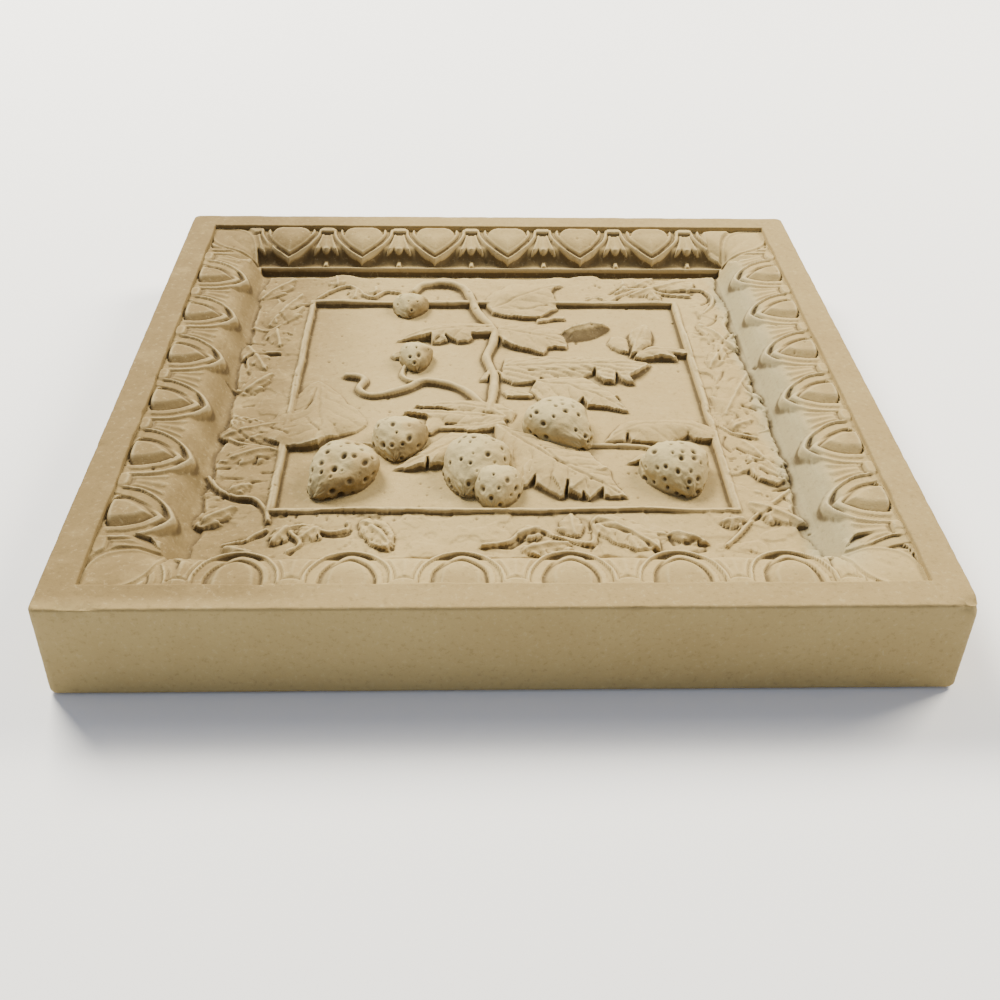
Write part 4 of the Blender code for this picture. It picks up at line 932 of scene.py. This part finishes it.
# rounded squares stacked along a profile; each ring has the same count of points on its sides and corners
# the profile runs from the tray under the face up the rim's inner wall, over the rim and round the back
def makeShell():
    t, s = tile, shell
    topHalf = t["halfSide"] - t["draft"]
    rings = [(0.01, 0, t["trayZ"]), (70, 0.5, t["trayZ"]), (139.9, 0.6, t["trayZ"])]
    r, a0, z0 = t["innerRound"], t["rimInner"], t["thick"] - t["innerRound"]
    rings += [(a0, 0.6, z) for z in np.linspace(21, z0, 12)]
    turns = (0.5, 1.0, math.pi / 2)
    rings += [(a0 + r * (1 - math.cos(q)), 0.6, z0 + r * math.sin(q)) for q in turns]
    a0, r = a0 + r, t["faceRound"]
    rings += [(a, 0.6 + (a - a0) / 10 * 3, t["thick"]) for a in np.linspace(141.6, topHalf - r, 9)]
    turns = np.linspace(0.2, 1.57, 7)
    rings += [(topHalf - r + r * math.sin(q), t["corner"], t["thick"] - r + r * math.cos(q)) for q in turns]
    zs = np.linspace(t["thick"] - r, t["backRound"], 28)[1:]
    rings += [(topHalf + t["draft"] * (t["thick"] - z) / t["thick"], t["corner"], z) for z in zs]
    r, a0 = t["backRound"], t["halfSide"]
    turns = np.linspace(0.2, 1.57, 8)
    rings += [(a0 - r + r * math.cos(q), t["corner"], r - r * math.sin(q)) for q in turns]
    rings += [(148, 3, 0), (130, 1, 0), (60, 0.5, 0), (0.01, 0, 0)]
    rings = np.array(rings)
    f = np.linspace(-1, 1, s["perSide"], endpoint=False)
    q = np.linspace(0, np.pi / 2, s["perCorner"] + 1)[:-1]
    parts = []
    for k in range(4):
        a, r = rings[:, :1], rings[:, 1:2]
        flat = np.stack([(a - r) * f, np.broadcast_to(-a, (len(rings), len(f)))], axis=-1)
        bend = np.stack([a - r + r * np.sin(q), -a + r - r * np.cos(q)], axis=-1)
        run = np.concatenate([flat, bend], axis=1)
        cos, sin = [(1, 0), (0, 1), (-1, 0), (0, -1)][k]
        turned = [run[..., 0] * cos - run[..., 1] * sin, run[..., 0] * sin + run[..., 1] * cos]
        parts.append(np.stack(turned, axis=-1))
    flat = np.concatenate(parts, axis=1)
    z = np.broadcast_to(rings[:, 2:3], flat.shape[:2])
    p = np.dstack([flat, z])
    up = np.gradient(p, axis=0)
    along = np.roll(p, -1, axis=1) - np.roll(p, 1, axis=1)
    n = np.cross(up, along)
    n /= np.linalg.norm(n, axis=-1, keepdims=True) + 1e-9
    x, y = p[..., 0], p[..., 1]
    ruffle = roughness(x + 3.1 * z, y - 2.3 * z, 21, 131, 3)
    fine = roughness(x + 5.3 * z, y + 4.7 * z, 3.4, 141, 2)
    sunk = s["wobble"] * (1 + ruffle) + 0.05 * (1 + fine)
    edge = np.exp(-((z - 37.2) / 1.2) ** 2) * (np.maximum(np.abs(x), np.abs(y)) > 149)
    sunk = sunk + s["edgeWear"] * edge * np.clip(roughness(x, y, 4, 151) + 0.2, 0, 1.5)
    inner = (np.maximum(np.abs(x), np.abs(y)) < 141.5) & (z > 24)
    sunk = np.where(inner, -0.25 - 0.3 * roughness(x, y, 11, 161), sunk)
    for centre, radius, deep in chips:
        off = ((p - np.array(centre)) ** 2).sum(-1) / radius ** 2
        sunk = sunk + deep * np.exp(-off ** 1.5) * (0.8 + 0.4 * fine)
    hidden = (z < 20.5) & (np.maximum(np.abs(x), np.abs(y)) < 141)
    sunk = np.where(hidden | (z < 0.001), 0, np.where(inner, sunk, np.maximum(sunk, 0.02)))
    p = p - n * sunk[..., None]
    p[..., 2] = np.clip(p[..., 2], 0, t["thick"])
    rows, columns = p.shape[:2]
    quads = gridQuads(rows, columns, wrapped=True)[:, ::-1]
    ends = np.arange(columns)
    piece = putMesh("body", p.reshape(-1, 3), quads, [ends, (rows - 1) * columns + ends[::-1]])
    grimeAndShade = 0.5 * np.clip(-fine - 0.7, 0, 1) + 0.5 * easeStep(0.55, 1.4, sunk) * (z > 1)
    putValues(piece, "grimeShadeWear", grimeAndShade)
    return piece


print("Making the body")
pieces.append(makeShell())


# a node socket that adds Math nodes when it is used in an expression
class Wire:
    def __init__(self, bench, socket):
        self.bench, self.socket = bench, socket

    def math(self, kind, one, other):
        return self.bench.add("ShaderNodeMath", {"operation": kind}, {0: one, 1: other})[0]

    def __add__(self, other):
        return self.math("ADD", self, other)

    def __radd__(self, other):
        return self.math("ADD", other, self)

    def __sub__(self, other):
        return self.math("SUBTRACT", self, other)

    def __rsub__(self, other):
        return self.math("SUBTRACT", other, self)

    def __mul__(self, other):
        return self.math("MULTIPLY", self, other)

    def __rmul__(self, other):
        return self.math("MULTIPLY", other, self)


# a material's node tree, to which every other node is added
class Bench:
    def __init__(self, material):
        material.use_nodes = True
        self.tree = material.node_tree

    def add(self, kind, settings=None, sockets=None):
        node = self.tree.nodes.new(kind)
        for key, value in (settings or {}).items():
            setattr(node, key, value)
        for key, value in (sockets or {}).items():
            if isinstance(value, Wire):
                self.tree.links.new(value.socket, node.inputs[key])
            else:
                node.inputs[key].default_value = value
        return [Wire(self, out) for out in node.outputs]

    # share of the way from low to high, held between 0 and 1
    def ramp(self, value, low, high):
        return self.add("ShaderNodeMapRange", {"interpolation_type": "SMOOTHSTEP"},
                        {"Value": value, "From Min": low, "From Max": high})[0]

    def blend(self, share, one, other):
        mix = self.add("ShaderNodeMix", {"data_type": "RGBA"}, {0: share, 6: one, 7: other})
        return mix[2]

    def noise(self, place, scale, detail=3.0, rough=0.55):
        return self.add("ShaderNodeTexNoise", {}, {"Vector": place, "Scale": scale, "Detail": detail,
                                                   "Roughness": rough})[0]


# the dark colour serves both for grime and for painted shade
stone = {
    "pale": (0.385, 0.29, 0.125, 1), "warm": (0.35, 0.257, 0.107, 1), "ochre": (0.18, 0.125, 0.048, 1),
    "berry": (0.455, 0.39, 0.205, 1), "green": (0.36, 0.345, 0.22, 1), "grimeAndShade": (0.07, 0.045, 0.017, 1),
    "worn": (0.56, 0.46, 0.25, 1), "grain": 1400, "rough": 0.9,
}


# pale stone, ochre to the west and on the rim, greenish in the east cove, darker in hollows with grime and
# painted shade, painted shade on steep walls, worn ridges, and painted ochre shade on the berries' east
# flanks
def makeStone(name):
    s = stone
    material = bpy.data.materials.new(name)
    bench = Bench(material)
    shader = bench.tree.nodes["Principled BSDF"]
    place = bench.add("ShaderNodeTexCoord")[3]
    x, y, z = bench.add("ShaderNodeSeparateXYZ", {}, {0: place})
    grimeShadeWearValue = bench.add("ShaderNodeAttribute", {"attribute_name": "grimeShadeWear"})[2]
    painted = bench.add("ShaderNodeAttribute", {"attribute_name": "ochre"})[2]
    clouds = bench.noise(place, 16, 4)
    patches = bench.noise(place, 75, 4)
    grain = bench.noise(place, s["grain"], 2, 0.6)
    speckle = bench.noise(place, 520, 3, 0.7)
    colour = bench.blend(bench.ramp(clouds + 0.35 * patches, 0.5, 0.95), s["pale"], s["warm"])
    westward = bench.ramp(x + 0.03 * clouds, -0.03, -0.085)
    westward = westward * bench.ramp(y, -0.1515, -0.144)
    colour = bench.blend(westward * bench.ramp(patches, 0.0, 0.55) * 0.95, colour, s["ochre"])
    eastward = bench.ramp(x + 0.012 * patches, 0.111, 0.118) * bench.ramp(x, 0.127, 0.119)
    eastward = eastward * bench.ramp(y, 0.13, 0.09) * bench.ramp(y, -0.135, -0.11)
    colour = bench.blend(eastward * bench.ramp(clouds, 0.3, 0.5) * 0.5, colour, s["green"])
    colour = bench.blend(bench.ramp(z, 0.0365, 0.0377) * (0.3 + 0.2 * patches), colour, s["ochre"])
    # painted shade in ochre on the berries' east flanks, and the pale berry colour on their lit sides
    colour = bench.blend(painted, colour, s["ochre"])
    colour = bench.blend(0 - painted, colour, s["berry"])
    # grime and painted shade: darker in hollows, on steep walls, under the curled leaf and at the berries'
    # feet
    colour = bench.blend(bench.ramp(grimeShadeWearValue, 0.12, 1.3) * 0.85, colour, s["grimeAndShade"])
    colour = bench.blend(bench.ramp(grimeShadeWearValue, -0.1, -1.1) * 0.4, colour, s["worn"])
    colour = bench.blend(bench.ramp(speckle, 0.54, 0.70) * 0.22, colour, s["grimeAndShade"])
    colour = bench.blend(bench.ramp(speckle, 0.44, 0.30) * 0.18, colour, s["worn"])
    bench.tree.links.new(colour.socket, shader.inputs["Base Color"])
    rough = s["rough"] + 0.08 * (patches - 0.5)
    bench.tree.links.new(rough.socket, shader.inputs["Roughness"])
    relief = grain + 0.8 * speckle
    bump = bench.add("ShaderNodeBump", {}, {"Height": relief, "Strength": 0.3, "Distance": 0.0004})[0]
    bench.tree.links.new(bump.socket, shader.inputs["Normal"])
    shader.inputs["Specular IOR Level"].default_value = 0.25
    return material


print("Finishing the stone")
castStone = makeStone("cast_stone")
for piece in pieces:
    piece.data.materials.append(castStone)
    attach(piece, "root")
    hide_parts("tile")

# Floor, light and camera
studio = {"floorSize": 20.0, "floorColour": (0.91, 0.93, 0.96, 1), "floorDown": 0.02,
          "sky": (0.90, 0.98, 1.18, 1), "skyStrength": 0.44}


# pale floor a little under the tile
def makeFloor():
    h, z = studio["floorSize"] * 500, -studio["floorDown"]
    floor = putMesh("floor", [(-h, -h, z), (h, -h, z), (h, h, z), (-h, h, z)], [(0, 1, 2, 3)], smooth=False)
    material = bpy.data.materials.new("floor")
    bench = Bench(material)
    shader = bench.tree.nodes["Principled BSDF"]
    shader.inputs["Base Color"].default_value = studio["floorColour"]
    shader.inputs["Roughness"].default_value = 0.8
    floor.data.materials.append(material)


lamps = [  # name, place, aim, size, power, colour
    ("window", (-0.8, 1.2, 1.5), (0, 0, 0.02), 0.8, 118, (1.0, 0.93, 0.78)),
    ("warmFill", (1.3, 0.7, 1.2), (0, 0, 0.02), 0.8, 66, (1.0, 0.90, 0.72)),
]


# square lamp at a place, aimed at a point
def makeLamp(name, place, aim, size, power, colour):
    light = bpy.data.lights.new(name, "AREA")
    light.size, light.energy, light.color = size, power, colour
    lamp = bpy.data.objects.new(name, light)
    bpy.context.scene.collection.objects.link(lamp)
    lamp.location = place
    away = [p - q for p, q in zip(place, aim)]
    flat = math.hypot(away[0], away[1])
    lamp.rotation_euler = (math.atan2(flat, away[2]), 0, math.atan2(away[0], -away[1]))


print("Setting the light")
makeFloor()
for lamp in lamps:
    makeLamp(*lamp)
world = bpy.data.worlds.new("studio")
bpy.context.scene.world = world
world.use_nodes = True
world.node_tree.nodes["Background"].inputs["Color"].default_value = studio["sky"]
world.node_tree.nodes["Background"].inputs["Strength"].default_value = studio["skyStrength"]

# camera at the photograph's angle
view = {"lens": 43.42, "place": (-0.01575, -0.43873, 0.29381), "turn": (53.3710, -1.0268, -1.5782)}
lensData = bpy.data.cameras.new("camera")
lensData.lens, lensData.sensor_width = view["lens"], 36
lensData.clip_start = 0.01
camera = bpy.data.objects.new("camera", lensData)
camera.location = view["place"]
camera.rotation_euler = [math.radians(t) for t in view["turn"]]
bpy.context.scene.collection.objects.link(camera)
bpy.context.scene.camera = camera

print("Dressed", len(pieces), "pieces")
